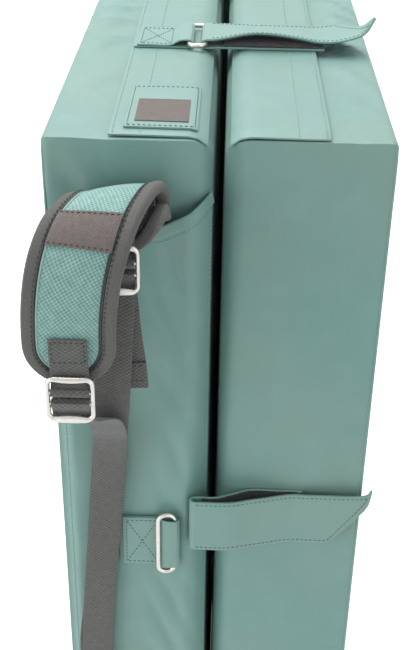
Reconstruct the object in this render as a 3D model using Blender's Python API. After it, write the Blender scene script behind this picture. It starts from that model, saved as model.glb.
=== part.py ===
"""A folded bouldering crash pad standing on its end: two foam halves in fabric covers, joined by a fabric
hinge at the back, held shut by hook-and-loop straps and metal rings, with two padded shoulder straps.

X runs across the two halves. Y runs from the front side to the hinge side. Z is up, with the floor at 0.
Sizes are in metres and angles in degrees."""

import math

import bmesh
import bpy
from mathutils import Vector

# Driving sizes of the folded pad
HEIGHT = 1.000
DEPTH = 0.660
HALF_THICK = 0.120
GAP = 0.008
FABRIC = 0.0012
SEAT = 0.0004
OVERRUN = 0.010

# Covers
OUTER_CROWN = 0.006
INNER_CROWN = 0.0030
END_CROWN = 0.0016
EDGE_ROUND = 0.018
ROUND_STEPS = 4
CROWN_CUTS_X = 3
CROWN_CUTS_Y = 5
CROWN_CUTS_Z = 7

# Foam slabs, from the landing side outwards
FOAM_SLACK = 0.0009
LANDING_FOAM = 0.024
BASE_FOAM = 0.022

# Access flaps on the top, each over a mouth in its cover
FLAP_START = 0.008
FLAP_WIDTH = 0.065
MOUTH_WIDTH = 0.024
MOUTH_END = 0.050
FLAP_END = 0.006
TAPE_WIDTH = 0.022
TAPE_THICK = 0.0010
TAPE_EDGE = 0.003

# Label sewn on the left flap
LABEL_WIDTH = 0.052
LABEL_LENGTH = 0.086
LABEL_START = 0.008
PRINT_WIDTH = 0.038
PRINT_LENGTH = 0.045
PRINT_START = 0.0095
PRINT_THICK = 0.0005

# Pocket over the front of the left half
POCKET_DEPTH = 0.0100
POCKET_RAMP = 0.014
POCKET_STEPS = 5
POCKET_FOOT = 0.012
POCKET_TURN = 58
POCKET_SHARES = (0.28, 0.54, 0.78, 0.9)
SEAM_SHARES = (0, 0.005, 0.012, 0.020)
PANEL_SHARES = (0.25, 0.5, 0.75, 0.93, 1)
MOUTH_DROP = 0.062
MOUTH_RISE = 0.0205
MOUTH_BEND = 0.038
MOUTH_POWER = 1.15
HEM_HEIGHT = 0.012
HEM_THICK = 0.0010

# Fabric hinge at the back
HINGE_LEAF = 0.060
HINGE_THICK = 0.0010
HINGE_END = 0.012

# Rings and their sewn tabs
RING_WIRE = 0.0040
RING_PLAY = 0.0035
RING_SHORT = 0.0180
RING_CORNER = 0.0065
RING_SIDES = 10
CORNER_STEPS = 3
TAB_THICK = 0.0014
TAB_LENGTH = 0.046
TAB_RISE = 0.008
BAR_SLACK = 0.0005
BAR_AT = 0.0295
THREADED_BAR_AT = 0.0290

# Closing straps
STRAP_WIDTH = 0.050
STRAP_THICK = 0.0018
LINING_THICK = 0.0010
LINING_EDGE = 0.004
STRAP_SEWN_END = 0.074
STRAP_SEWN_START = 0.032
STRAP_SETTLED_AT = 0.064
FRONT_TIP_SHARES = (0.32, 1)
FRONT_END_SHARES = (0.86, 1)
TOP_TIP_SHARES = (-1, 0.55)
TOP_END_SHARES = (-1, -0.86)
STRAP_FOLD_AT = 0.0170
FOLD_ROUND = 0.0034
STRAP_LIFT = 0.0014
CUT_START = 0.095
TIP_DROP = 0.0085
TIP_PAST = 0.0075
TOP_TIP_RISE = 0.022
WRAP_END = 0.030
FRONT_SHARES = (0.333, 0.6735)
TOP_SHARES = (0.333, 0.668)
LOOSE_TAB_DROP = 0.0235

# Shoulder straps
PAD_WIDTH = 0.044
PAD_THICK = 0.0080
PAD_CROWN = 0.0012
BINDING = 0.0095
BINDING_THICK = 0.0090
ROOT_WIDTH = 0.042
ROOT_THICK = 0.0014
ROOT_DOWN = 0.060
ROOT_CLEAR = 0.0022
LEAN = 0.17
BINDING_EDGE_SHARE = 0.8
END_TURN = 88
BADGE_FROM = 0.066
BADGE_TO = 0.0905
BADGE_THICK = 0.0008
PATH_STEPS = 4
END_STEPS = 8

# Webbing and buckles
WEBBING = 0.0265
WEBBING_THICK = 0.0014
LOOP_SEWN = 0.025
LOOP_TURN = 110
BUCKLE_WIDTH = 0.034
BUCKLE_HEIGHT = 0.037
BUCKLE_LAP = 0.012
BUCKLE_STAND = 0.0020
BUCKLE_THICK = 0.0036
BUCKLE_CORNER = 0.0065
BUCKLE_RAIL = 0.0031
BUCKLE_BAR = 0.0030
BAR_SIDES = 12
LOOP_BAR_DOWN = 0.0130
GRIP_BAR_DOWN = 0.0218
WRAP_STEPS = 6
ANCHOR_HEIGHT = 0.060
ANCHOR_LENGTH = 0.046
ANCHOR_WIDTH = 0.030
TAIL_HEM = 0.022

# Where the shoulder straps run, from the pocket over the arch to the free end, with drops below the pad's top
FIRST_STRAP = (
    (-0.0660, -0.0068, -0.0480),
    (-0.0670, -0.0180, -0.0330),
    (-0.0730, -0.0400, -0.0270),
    (-0.0830, -0.0670, -0.0350),
    (-0.0920, -0.0840, -0.0590),
    (-0.0970, -0.0880, -0.0970),
    (-0.0970, -0.0862, -0.1455),
)
SECOND_STRAP = (
    (-0.0640, -0.0170, -0.0540),
    (-0.0650, -0.0260, -0.0455),
    (-0.0660, -0.0400, -0.0450),
    (-0.0670, -0.0500, -0.0495),
    (-0.0675, -0.0545, -0.0615),
)
FIRST_ROOT = (-0.0042, -0.060)
SECOND_ROOT = (-0.0080, -0.0608)

# Where the webbings run: up from their anchors, and then up to their buckles with drops below the pad's top
FIRST_WEBBING_LOW = (
    (-0.099, -0.0136, 0.062),
    (-0.099, -0.0136, 0.115),
    (-0.099, -0.0190, 0.200),
    (-0.0985, -0.0190, 0.400),
)
FIRST_WEBBING_HIGH = (
    (-0.0965, -0.0190, -0.450),
    (-0.0850, -0.0190, -0.310),
    (-0.0795, -0.0270, -0.245),
    (-0.0785, -0.0450, -0.212),
    (-0.0830, -0.0600, -0.194),
    (-0.0940, -0.0800, -0.181),
)
SECOND_WEBBING_LOW = (
    (-0.067, -0.0136, 0.062),
    (-0.067, -0.0136, 0.115),
    (-0.067, -0.0168, 0.200),
    (-0.068, -0.0168, 0.350),
)
SECOND_WEBBING_HIGH = (
    (-0.0990, -0.0168, -0.500),
    (-0.0940, -0.0168, -0.410),
    (-0.0850, -0.0168, -0.300),
    (-0.0812, -0.0180, -0.255),
    (-0.0780, -0.0320, -0.222),
    (-0.0750, -0.0480, -0.195),
    (-0.0722, -0.0570, -0.160),
    (-0.0700, -0.0600, -0.120),
)
FIRST_TAIL = ((0, 0.0100, -0.005), (0, 0.0190, -0.001), (0, 0.0210, 0.012), (0, 0.0210, 0.040))
SECOND_TAIL = ((0.0030, 0.0040, -0.050), (0.0060, 0.0075, -0.080), (0.0072, 0.0085, -0.100))

# Colours, roughness and metal of the finishes
FINISHES = {
    "cover_fabric": ((0.20, 0.36, 0.33), 0.55, 0.0),
    "strap_fabric": ((0.25, 0.42, 0.39), 0.60, 0.0),
    "dark_webbing": ((0.07, 0.07, 0.065), 0.80, 0.0),
    "binding_tape": ((0.10, 0.095, 0.085), 0.85, 0.0),
    "hook_and_loop": ((0.03, 0.035, 0.035), 0.95, 0.0),
    "brown_panel": ((0.17, 0.13, 0.11), 0.70, 0.0),
    "alloy": ((0.80, 0.78, 0.74), 0.30, 1.0),
    "closed_cell_foam": ((0.12, 0.12, 0.13), 0.90, 0.0),
    "open_cell_foam": ((0.75, 0.72, 0.60), 0.95, 0.0),
}

# Worked out from the sizes above
RING_LONG = STRAP_WIDTH + (RING_WIRE + RING_PLAY) * 2
TAB_WIDTH = STRAP_WIDTH
INNER_X = GAP / 2
OUTER_X = INNER_X + HALF_THICK
FRONT_LEVEL = END_CROWN + SEAT
POCKET_LEVEL = SEAT + POCKET_DEPTH + FABRIC + SEAT
TAPE_LOW = HEIGHT + SEAT
LOOP_TAPE_LOW = TAPE_LOW + TAPE_THICK + SEAT
FLAP_LOW = LOOP_TAPE_LOW + TAPE_THICK + SEAT
FLAP_TOP = FLAP_LOW + FABRIC
MOUTH_NEAR = INNER_X + EDGE_ROUND + TAPE_EDGE
FLAP_NEAR = INNER_X + FLAP_START
FLAP_FAR = FLAP_NEAR + FLAP_WIDTH
TOP_LEVEL = FLAP_TOP + SEAT - HEIGHT
BUCKLE_FRONT = PAD_THICK / 2 + PAD_CROWN + SEAT + WEBBING_THICK + BUCKLE_STAND + BUCKLE_THICK / 2
STRAP_REACH = 0.1003
BACK_REACH = DEPTH + END_CROWN + SEAT + HINGE_THICK
TIP_REACH = OUTER_X + TIP_PAST + STRAP_THICK / 2
SHIFT = Vector(
    (
        (OUTER_X + OUTER_CROWN - TIP_REACH) / 2,
        (STRAP_REACH - BACK_REACH) / 2,
        0,
    )
)


def clear_scene():
    for old in list(bpy.data.objects):
        bpy.data.objects.remove(old, do_unlink=True)


def finish(name):
    material = bpy.data.materials.get(name) or bpy.data.materials.new(name)
    material.use_nodes = True
    colour, roughness, metallic = FINISHES[name]
    shader = material.node_tree.nodes["Principled BSDF"]
    shader.inputs["Base Color"].default_value = (*colour, 1)
    shader.inputs["Roughness"].default_value = roughness
    shader.inputs["Metallic"].default_value = metallic
    return material


def put(name, bm, material):
    """Makes the named piece of a mesh whose points are in the pad's own places."""
    bmesh.ops.recalc_face_normals(bm, faces=bm.faces)
    bmesh.ops.translate(bm, vec=SHIFT, verts=bm.verts)
    mesh = bpy.data.meshes.new(name)
    bm.to_mesh(mesh)
    bm.free()
    piece = bpy.data.objects.new(name, mesh)
    bpy.context.scene.collection.objects.link(piece)
    mesh.materials.append(finish(material))
    mesh.shade_smooth()
    mesh.set_sharp_from_angle(angle=math.radians(35))
    return piece


def cutter(name, bm):
    tool = put(name, bm, "cover_fabric")
    tool.hide_render = True
    tool.display_type = "WIRE"
    return tool


def boolean(piece, tool, operation="DIFFERENCE"):
    modifier = piece.modifiers.new(tool.name, "BOOLEAN")
    modifier.operation = operation
    modifier.solver = "EXACT"
    modifier.object = tool


def cube(corner, opposite):
    low = Vector(map(min, corner, opposite))
    high = Vector(map(max, corner, opposite))
    bm = bmesh.new()
    bmesh.ops.create_cube(bm, size=1)
    bmesh.ops.scale(bm, vec=high - low, verts=bm.verts)
    bmesh.ops.translate(bm, vec=(low + high) / 2, verts=bm.verts)
    return bm


def slab(name, corner, opposite, material):
    return put(name, cube(corner, opposite), material)


# Halves


def rounded_block(side, inset):
    """A half's outline drawn in by inset: crowned on its faces, rounded round its inner face, flat on its foot."""
    low = Vector((min(side * INNER_X, side * OUTER_X), 0, 0)) + Vector((inset, inset, inset))
    high = Vector((max(side * INNER_X, side * OUTER_X), DEPTH, HEIGHT)) - Vector((inset, inset, inset))
    bm = cube(low, high)
    inner = low.x if side > 0 else high.x
    rim = [
        edge
        for edge in bm.edges
        if all(abs(vert.co.x - inner) < SEAT for vert in edge.verts)
        and max(vert.co.z for vert in edge.verts) > HEIGHT / 2
    ]
    bmesh.ops.bevel(bm, geom=rim, offset=EDGE_ROUND, segments=ROUND_STEPS, profile=0.5, affect="EDGES")
    for axis, cuts in enumerate((CROWN_CUTS_X, CROWN_CUTS_Y, CROWN_CUTS_Z)):
        normal = Vector((0, 0, 0))
        normal[axis] = 1
        for step in range(1, cuts + 1):
            bmesh.ops.bisect_plane(
                bm,
                geom=bm.verts[:] + bm.edges[:] + bm.faces[:],
                plane_co=low.lerp(high, step / (cuts + 1)),
                plane_no=normal,
            )
    middle, half = (low + high) / 2, (high - low) / 2
    for vert in bm.verts:
        share = [(vert.co[i] - middle[i]) / half[i] for i in range(3)]
        fall = [max(0, 1 - part * part) for part in share]
        crown = OUTER_CROWN if share[0] * side > 0 else INNER_CROWN
        vert.co.x += share[0] * crown * fall[1] * fall[2]
        vert.co.y += share[1] * END_CROWN * fall[0] * fall[2]
    return bm


def cover(side, name):
    piece = put(name, rounded_block(side, 0), "cover_fabric")
    boolean(piece, cutter(name + "_inside", rounded_block(side, FABRIC)))
    near = side * MOUTH_NEAR
    far = near + side * MOUTH_WIDTH
    mouth = cube((near, MOUTH_END, HEIGHT - OVERRUN), (far, DEPTH - MOUTH_END, HEIGHT + OVERRUN))
    boolean(piece, cutter(name + "_mouth", mouth))
    return piece


def foam_slab(side, name, near, far, material):
    """A slab of the space inside a cover, between two distances from the cover's inner face."""
    bm = rounded_block(side, FABRIC + FOAM_SLACK)
    for distance, outwards in ((near, -side), (far, side)):
        if distance is None:
            continue
        cut = bmesh.ops.bisect_plane(
            bm,
            geom=bm.verts[:] + bm.edges[:] + bm.faces[:],
            plane_co=(side * (INNER_X + distance), 0, 0),
            plane_no=(outwards, 0, 0),
            clear_outer=True,
        )
        rim = [part for part in cut["geom_cut"] if isinstance(part, bmesh.types.BMEdge)]
        bmesh.ops.contextual_create(bm, geom=rim)
    return put(name, bm, material)


def foams(side, prefix):
    core_to = HALF_THICK - BASE_FOAM
    foam_slab(side, prefix + "_landing_foam", None, LANDING_FOAM, "closed_cell_foam")
    foam_slab(side, prefix + "_core_foam", LANDING_FOAM + SEAT, core_to, "open_cell_foam")
    foam_slab(side, prefix + "_base_foam", core_to + SEAT, None, "closed_cell_foam")


def access_flap(side, prefix):
    """The flap over the foam's way in, with hook tape on the cover and loop tape under the flap."""
    tape_far = side * (FLAP_FAR - TAPE_EDGE)
    tape_near = tape_far - side * TAPE_WIDTH
    for name, low in (("_hook_tape", TAPE_LOW), ("_loop_tape", LOOP_TAPE_LOW)):
        slab(
            prefix + name,
            (tape_near, FLAP_END, low),
            (tape_far, DEPTH - FLAP_END, low + TAPE_THICK),
            "hook_and_loop",
        )
    slab(
        prefix + "_access_flap",
        (side * FLAP_NEAR, FLAP_END, FLAP_LOW),
        (side * FLAP_FAR, DEPTH - FLAP_END, FLAP_TOP),
        "cover_fabric",
    )


def label():
    """The sewn label near the front of the left flap, with its plain panel."""
    near = -(FLAP_NEAR + TAPE_EDGE)
    low = FLAP_TOP + SEAT
    top = low + FABRIC
    slab(
        "label_patch",
        (near, LABEL_START, low),
        (near - LABEL_WIDTH, LABEL_START + LABEL_LENGTH, top),
        "strap_fabric",
    )
    edge = near - (LABEL_WIDTH - PRINT_WIDTH) / 2
    start = LABEL_START + PRINT_START
    slab(
        "label_panel",
        (edge, start, top + SEAT),
        (edge - PRINT_WIDTH, start + PRINT_LENGTH, top + SEAT + PRINT_THICK),
        "brown_panel",
    )


def hinge_leaf(side, name):
    low = DEPTH + END_CROWN + SEAT
    slab(
        name,
        (side * SEAT, low, HINGE_END),
        (side * HINGE_LEAF, low + HINGE_THICK, HEIGHT - HINGE_END),
        "cover_fabric",
    )


# Pocket


def pocket_profile():
    """The pocket panel's line seen from above, from its left seam round to the gap side."""
    seam_y = -(SEAT + FABRIC / 2)
    flat_y = seam_y - POCKET_DEPTH
    left = OUTER_X - SEAT
    line = []
    for step in range(POCKET_STEPS + 1):
        share = step / POCKET_STEPS
        rise = (1 - math.cos(math.pi * share)) / 2
        line.append((-left + POCKET_RAMP * share, seam_y + (flat_y - seam_y) * rise))
    start = -left + POCKET_RAMP
    for share in POCKET_SHARES:
        line.append((start + (-INNER_X - EDGE_ROUND - start) * share, flat_y))
    centre_x, centre_y = -(INNER_X + EDGE_ROUND), EDGE_ROUND
    radius = EDGE_ROUND + SEAT * 2 + FABRIC / 2 + INNER_CROWN / 2
    for step in range(POCKET_STEPS + 1):
        share = step / POCKET_STEPS
        angle = math.radians(POCKET_TURN * share)
        lift = (POCKET_DEPTH - SEAT) * (1 + math.cos(math.pi * share)) / 2
        line.append((centre_x + radius * math.sin(angle), centre_y - radius * math.cos(angle) - lift))
    return line


def mouth_height(x):
    """The height of the pocket's edge, which sweeps up towards the gap."""
    share = max(0, 1 - (-INNER_X - x) / MOUTH_BEND)
    return HEIGHT - MOUTH_DROP + MOUTH_RISE * min(1, share) ** MOUTH_POWER


def sheet(columns, thick):
    """A closed sheet through a grid of points, given as columns of equal length."""
    grid = [[Vector(point) for point in column] for column in columns]
    last_column, last_row = len(grid) - 1, len(grid[0]) - 1
    bm = bmesh.new()
    faces_of = {-1: [], 1: []}
    for i, column in enumerate(grid):
        for j, point in enumerate(column):
            across = grid[min(i + 1, last_column)][j] - grid[max(i - 1, 0)][j]
            along = column[min(j + 1, last_row)] - column[max(j - 1, 0)]
            normal = across.cross(along).normalized() * thick / 2
            for side in (-1, 1):
                faces_of[side].append(bm.verts.new(point + side * normal))
    rows = last_row + 1

    def at(side, i, j):
        return faces_of[side][i * rows + j]

    for i in range(last_column):
        for j in range(last_row):
            for side in (-1, 1):
                bm.faces.new((at(side, i, j), at(side, i + 1, j), at(side, i + 1, j + 1), at(side, i, j + 1)))
    for i in range(last_column):
        for j in (0, last_row):
            bm.faces.new((at(-1, i, j), at(-1, i + 1, j), at(1, i + 1, j), at(1, i, j)))
    for j in range(last_row):
        for i in (0, last_column):
            bm.faces.new((at(-1, i, j), at(-1, i, j + 1), at(1, i, j + 1), at(1, i, j)))
    return bm


def pocket():
    seam_y = -(SEAT + FABRIC / 2)
    columns = []
    for x, y in pocket_profile():
        top = mouth_height(x)
        column = []
        for share in SEAM_SHARES + PANEL_SHARES:
            rise = min(1, share / SEAM_SHARES[-1])
            depth = seam_y + (y - seam_y) * math.sin(rise * math.pi / 2) if y < seam_y else y
            column.append((x, depth, POCKET_FOOT + (top - POCKET_FOOT) * share))
        columns.append(column)
    put("side_pocket", sheet(columns, FABRIC), "cover_fabric")
    hem_off = FABRIC / 2 + SEAT + HEM_THICK / 2
    columns = []
    line = pocket_profile()[POCKET_STEPS:]
    for i, (x, y) in enumerate(line):
        before, after = line[max(i - 1, 0)], line[min(i + 1, len(line) - 1)]
        along = Vector((after[0] - before[0], after[1] - before[1])).normalized()
        hem_x, hem_y = x + along.y * hem_off, y - along.x * hem_off
        top = mouth_height(x)
        columns.append([(hem_x, hem_y, top - HEM_HEIGHT), (hem_x, hem_y, top)])
    put("pocket_hem", sheet(columns, HEM_THICK), "cover_fabric")


# Strips of fabric and webbing


def strip(line, across, width, thick, spans=None):
    """A strip along a line. Spans give each place's two edges as shares of the width, from -1 to 1."""
    line = [Vector(point) for point in line]
    across = Vector(across).normalized()
    spans = spans or [(-1, 1)] * len(line)
    bm = bmesh.new()
    stations = []
    for i, (point, span) in enumerate(zip(line, spans)):
        before = (point - line[i - 1]).normalized() if i else (line[1] - point).normalized()
        after = (line[i + 1] - point).normalized() if i + 1 < len(line) else before
        along = (before + after).normalized()
        mitre = 1 / max(0.5, along.dot(after))
        out = along.cross(across).normalized() * mitre * thick / 2
        low, high = (across * width / 2 * share for share in span)
        stations.append([bm.verts.new(point + v) for v in (low - out, high - out, high + out, low + out)])
    for first, second in zip(stations, stations[1:]):
        for i in range(4):
            j = (i + 1) % 4
            bm.faces.new((first[i], first[j], second[j], second[i]))
    bm.faces.new(stations[0])
    bm.faces.new(reversed(stations[-1]))
    return bm


def arc(centre, radius, start, end, steps):
    """Points on an arc in a plane."""
    angles = [math.radians(start + (end - start) * i / steps) for i in range(steps + 1)]
    return [(centre[0] + radius * math.cos(a), centre[1] + radius * math.sin(a)) for a in angles]


def spline(points, steps):
    """A smooth line through a few points, with steps between each two."""
    points = [Vector(point) for point in points]
    ends = [points[0] * 2 - points[1], *points, points[-1] * 2 - points[-2]]
    line = []
    for a, b, c, d in zip(ends, ends[1:], ends[2:], ends[3:]):
        for i in range(steps):
            t = i / steps
            bend = (a * 2 - b * 5 + c * 4 - d) * t**2 + (b * 3 - a - c * 3 + d) * t**3
            line.append((b * 2 + (c - a) * t + bend) / 2)
    return line + [points[-1]]


# Closures


class Closure:
    """Places on the front or the top: across the gap, along the edge, and out of the surface."""

    def __init__(self, prefix, middle, on_top, levels):
        self.prefix = prefix
        self.middle = middle
        self.on_top = on_top
        self.left, self.right = levels

    def place(self, across, out, along=0):
        if self.on_top:
            return Vector((across, self.middle + along, HEIGHT + out))
        return Vector((across, -out, self.middle + along))

    def direction(self):
        return (0, 1, 0) if self.on_top else (0, 0, 1)

    def strip(self, name, line, width, thick, material, spans=None):
        line = [self.place(across, out) for across, out in line]
        put(self.prefix + name, strip(line, self.direction(), width, thick, spans), material)


def ring(closure, bar_at, bar_out, tilt, drop):
    """A rounded rectangle of wire, with one long bar at bar_at and the rest turned by tilt about it."""
    half = RING_LONG / 2 - RING_WIRE / 2
    short = RING_SHORT - RING_WIRE
    turn = math.radians(tilt)
    corners = ((short - RING_CORNER, half - RING_CORNER), (RING_CORNER, half - RING_CORNER))
    corners += ((RING_CORNER, RING_CORNER - half), (short - RING_CORNER, RING_CORNER - half))
    path = []
    for i, corner in enumerate(corners):
        path += arc(corner, RING_CORNER, 90 * i, 90 * (i + 1), CORNER_STEPS)
    bm = bmesh.new()
    loops = []
    for i, (side, along) in enumerate(path):
        before, after = path[i - 1], path[(i + 1) % len(path)]
        tangent = Vector((after[0] - before[0], after[1] - before[1])).normalized()
        loop = []
        for across, lift in arc((0, 0), RING_WIRE / 2, 0, 360 - 360 / RING_SIDES, RING_SIDES - 1):
            reach = side + tangent.y * across
            place = closure.place(
                bar_at + reach * math.cos(turn) - lift * math.sin(turn),
                bar_out + reach * math.sin(turn) + lift * math.cos(turn),
                along - tangent.x * across + drop,
            )
            loop.append(bm.verts.new(place))
        loops.append(loop)
    for i, first in enumerate(loops):
        second = loops[(i + 1) % len(loops)]
        for j in range(RING_SIDES):
            k = (j + 1) % RING_SIDES
            bm.faces.new((first[j], first[k], second[k], second[j]))
    put(closure.prefix + "_ring", bm, "alloy")


def tab(closure, bar_at, drop):
    """A sewn tab folded round a ring's bar. Gives how far out the bar's middle is."""
    turn = RING_WIRE / 2 + BAR_SLACK + TAB_THICK / 2
    low = closure.left + TAB_THICK / 2
    high = low + TAB_THICK + SEAT
    bar_out = low + turn
    far = -bar_at - TAB_LENGTH
    line = [(far, low), (-bar_at - TAB_RISE, low)]
    line += arc((-bar_at, bar_out), turn, -90, 90, WRAP_STEPS)
    line += [(-bar_at - TAB_RISE * 2, high), (far + TAB_THICK * 4, high)]
    middle = closure.middle
    closure.middle += drop
    closure.strip("_tab", line, TAB_WIDTH, TAB_THICK, "strap_fabric")
    closure.middle = middle
    return bar_out


def loose_closure(closure, drop):
    """A closing strap folded on itself, out of its ring, with the ring turned back on its tab."""
    bar_out = tab(closure, BAR_AT, drop)
    left_bar_out = closure.left + TAB_THICK * 2 + SEAT * 3 + RING_WIRE / 2
    tilt = math.degrees(math.asin((left_bar_out - bar_out) / (RING_SHORT - RING_WIRE)))
    ring(closure, -BAR_AT, bar_out, 180 - tilt, drop)
    sewn = closure.right + STRAP_THICK / 2
    over = max(closure.left, closure.right) + STRAP_LIFT + STRAP_THICK / 2
    fold = over + FOLD_ROUND
    back = over + FOLD_ROUND * 2
    line = [(STRAP_SEWN_END, sewn), (STRAP_SEWN_START, sewn), (INNER_X, over)]
    line += [(-STRAP_FOLD_AT + FOLD_ROUND + SEAT, over)]
    line += arc((-STRAP_FOLD_AT + FOLD_ROUND, fold), FOLD_ROUND, 270, 90, WRAP_STEPS)
    closure.strip("_strap_base", line, STRAP_WIDTH, STRAP_THICK, "strap_fabric")
    start = -STRAP_FOLD_AT + FOLD_ROUND + SEAT
    settled = sewn + STRAP_THICK + LINING_THICK * 2 + SEAT * 4
    free = [(start, back), (INNER_X + OVERRUN, back), (STRAP_SETTLED_AT, settled), (CUT_START, settled)]
    cut_spans = [(-1, 1)] * 4
    if closure.on_top:
        free += [(OUTER_X - OVERRUN, settled), (OUTER_X + TIP_PAST / 2, settled)]
    else:
        free += [(OUTER_X - OVERRUN / 2, settled), (OUTER_X + TIP_PAST, settled - TIP_DROP)]
    cut_spans += [FRONT_TIP_SHARES, FRONT_END_SHARES]
    closure.strip("_strap_end", free, STRAP_WIDTH, STRAP_THICK, "strap_fabric", cut_spans)
    under = STRAP_THICK / 2 + SEAT + LINING_THICK / 2
    lining = [(STRAP_SETTLED_AT + OVERRUN / 2, settled - under), (CUT_START - LINING_EDGE, settled - under)]
    width = STRAP_WIDTH - LINING_EDGE * 2
    closure.strip("_strap_lining", lining, width, LINING_THICK, "hook_and_loop")


def threaded_closure(closure):
    """A closing strap run through its ring and folded back on itself, with its tip lifting."""
    bar_out = tab(closure, THREADED_BAR_AT, 0)
    ring(closure, -THREADED_BAR_AT, bar_out, 0, 0)
    turn = RING_WIRE / 2 + BAR_SLACK + STRAP_THICK / 2
    bar_x = -THREADED_BAR_AT + RING_SHORT - RING_WIRE
    sewn = closure.right + STRAP_THICK / 2
    line = [(STRAP_SEWN_END + OVERRUN, sewn), (-INNER_X, sewn), (bar_x + turn / 2, bar_out - turn)]
    line += arc((bar_x, bar_out), turn, 270, 90, WRAP_STEPS)
    settled = sewn + STRAP_THICK + LINING_THICK * 2 + SEAT * 4
    line += [(bar_x + turn, bar_out + turn), (WRAP_END, settled)]
    closure.strip("_strap_base", line, STRAP_WIDTH, STRAP_THICK, "strap_fabric")
    free = [(WRAP_END + SEAT, settled), (CUT_START - OVERRUN, settled)]
    free += [(OUTER_X - OVERRUN, settled + TOP_TIP_RISE / 3), (OUTER_X, settled + TOP_TIP_RISE)]
    spans = [(-1, 1), (-1, 1), TOP_TIP_SHARES, TOP_END_SHARES]
    closure.strip("_strap_end", free, STRAP_WIDTH, STRAP_THICK, "strap_fabric", spans)
    under = STRAP_THICK / 2 + SEAT + LINING_THICK / 2
    lining = [(WRAP_END + OVERRUN, settled - under), (CUT_START - OVERRUN, settled - under)]
    width = STRAP_WIDTH - LINING_EDGE * 2
    closure.strip("_strap_lining", lining, width, LINING_THICK, "hook_and_loop")


def closures():
    front = POCKET_LEVEL, FRONT_LEVEL
    top = TOP_LEVEL, TOP_LEVEL
    for prefix, share in zip(("front_lower", "front_upper"), FRONT_SHARES):
        loose_closure(Closure(prefix, HEIGHT * share, False, front), -LOOSE_TAB_DROP)
    threaded_closure(Closure("top_front", DEPTH * TOP_SHARES[0], True, top))
    loose_closure(Closure("top_back", DEPTH * TOP_SHARES[1], True, top), 0)


# Shoulder straps


class Path:
    """A smooth centre line with places at a distance along it and to one side of it."""

    def __init__(self, points):
        self.line = spline(points, PATH_STEPS)
        self.lengths = [0]
        for first, second in zip(self.line, self.line[1:]):
            self.lengths.append(self.lengths[-1] + (second - first).length)
        self.length = self.lengths[-1]

    def place(self, distance, side=0, out=0):
        distance = min(max(distance, 0), self.length)
        i = next((i for i, far in enumerate(self.lengths[1:]) if distance <= far), len(self.lengths) - 2)
        share = (distance - self.lengths[i]) / (self.lengths[i + 1] - self.lengths[i])
        tangents = [
            (self.line[min(j + 1, len(self.line) - 1)] - self.line[max(j - 1, 0)]).normalized()
            for j in (i, i + 1)
        ]
        along = tangents[0].lerp(tangents[1], share).normalized()
        level = Vector((1, 0, LEAN))
        across = (level - along * along.dot(level)).normalized()
        normal = along.cross(across)
        return self.line[i].lerp(self.line[i + 1], share) + across * side + normal * out


def pad_and_binding(path, prefix):
    """A crowned pad with a rounded free end, and the tape bound round its edge."""
    half = PAD_WIDTH / 2
    straight = path.length - half - BINDING
    stations = [straight * i / (PATH_STEPS * 4) for i in range(PATH_STEPS * 4 + 1)]
    ends = [math.radians(END_TURN * i / END_STEPS) for i in range(1, END_STEPS + 1)]
    places = [(distance, half) for distance in stations]
    places += [(straight + half * math.sin(a), half * math.cos(a)) for a in ends]
    bm = bmesh.new()
    loops = []
    for distance, reach in places:
        loop = []
        for side, out in ((-1, -1), (0, -1), (1, -1), (1, 1), (0.5, 1), (0, 1), (-0.5, 1), (-1, 1)):
            crown = PAD_CROWN * (1 - side * side)
            height = out * PAD_THICK / 2 + (crown if out > 0 else 0)
            loop.append(bm.verts.new(path.place(distance, side * reach, height)))
        loops.append(loop)
    for first, second in zip(loops, loops[1:]):
        for i in range(8):
            j = (i + 1) % 8
            bm.faces.new((first[i], first[j], second[j], second[i]))
    bm.faces.new(loops[0])
    bm.faces.new(reversed(loops[-1]))
    put(prefix + "_pad", bm, "strap_fabric")
    inner = half + SEAT
    rim = [(distance, -1, 0) for distance in stations]
    turns = [math.radians(180 * i / (END_STEPS * 2)) for i in range(1, END_STEPS * 2)]
    rim += [(straight, -math.cos(a), math.sin(a)) for a in turns]
    rim += [(distance, 1, 0) for distance in reversed(stations)]
    bm = bmesh.new()
    loops = []
    for distance, side, ahead in rim:
        loop = []
        outer, thin = inner + BINDING, BINDING_EDGE_SHARE
        for reach, out in ((inner, -1), (outer, -thin), (outer, thin), (inner, 1)):
            height = out * BINDING_THICK / 2
            loop.append(bm.verts.new(path.place(distance + ahead * reach, side * reach, height)))
        loops.append(loop)
    for first, second in zip(loops, loops[1:]):
        for i in range(4):
            j = (i + 1) % 4
            bm.faces.new((first[i], first[j], second[j], second[i]))
    bm.faces.new(loops[0])
    bm.faces.new(reversed(loops[-1]))
    put(prefix + "_binding", bm, "binding_tape")


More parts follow.
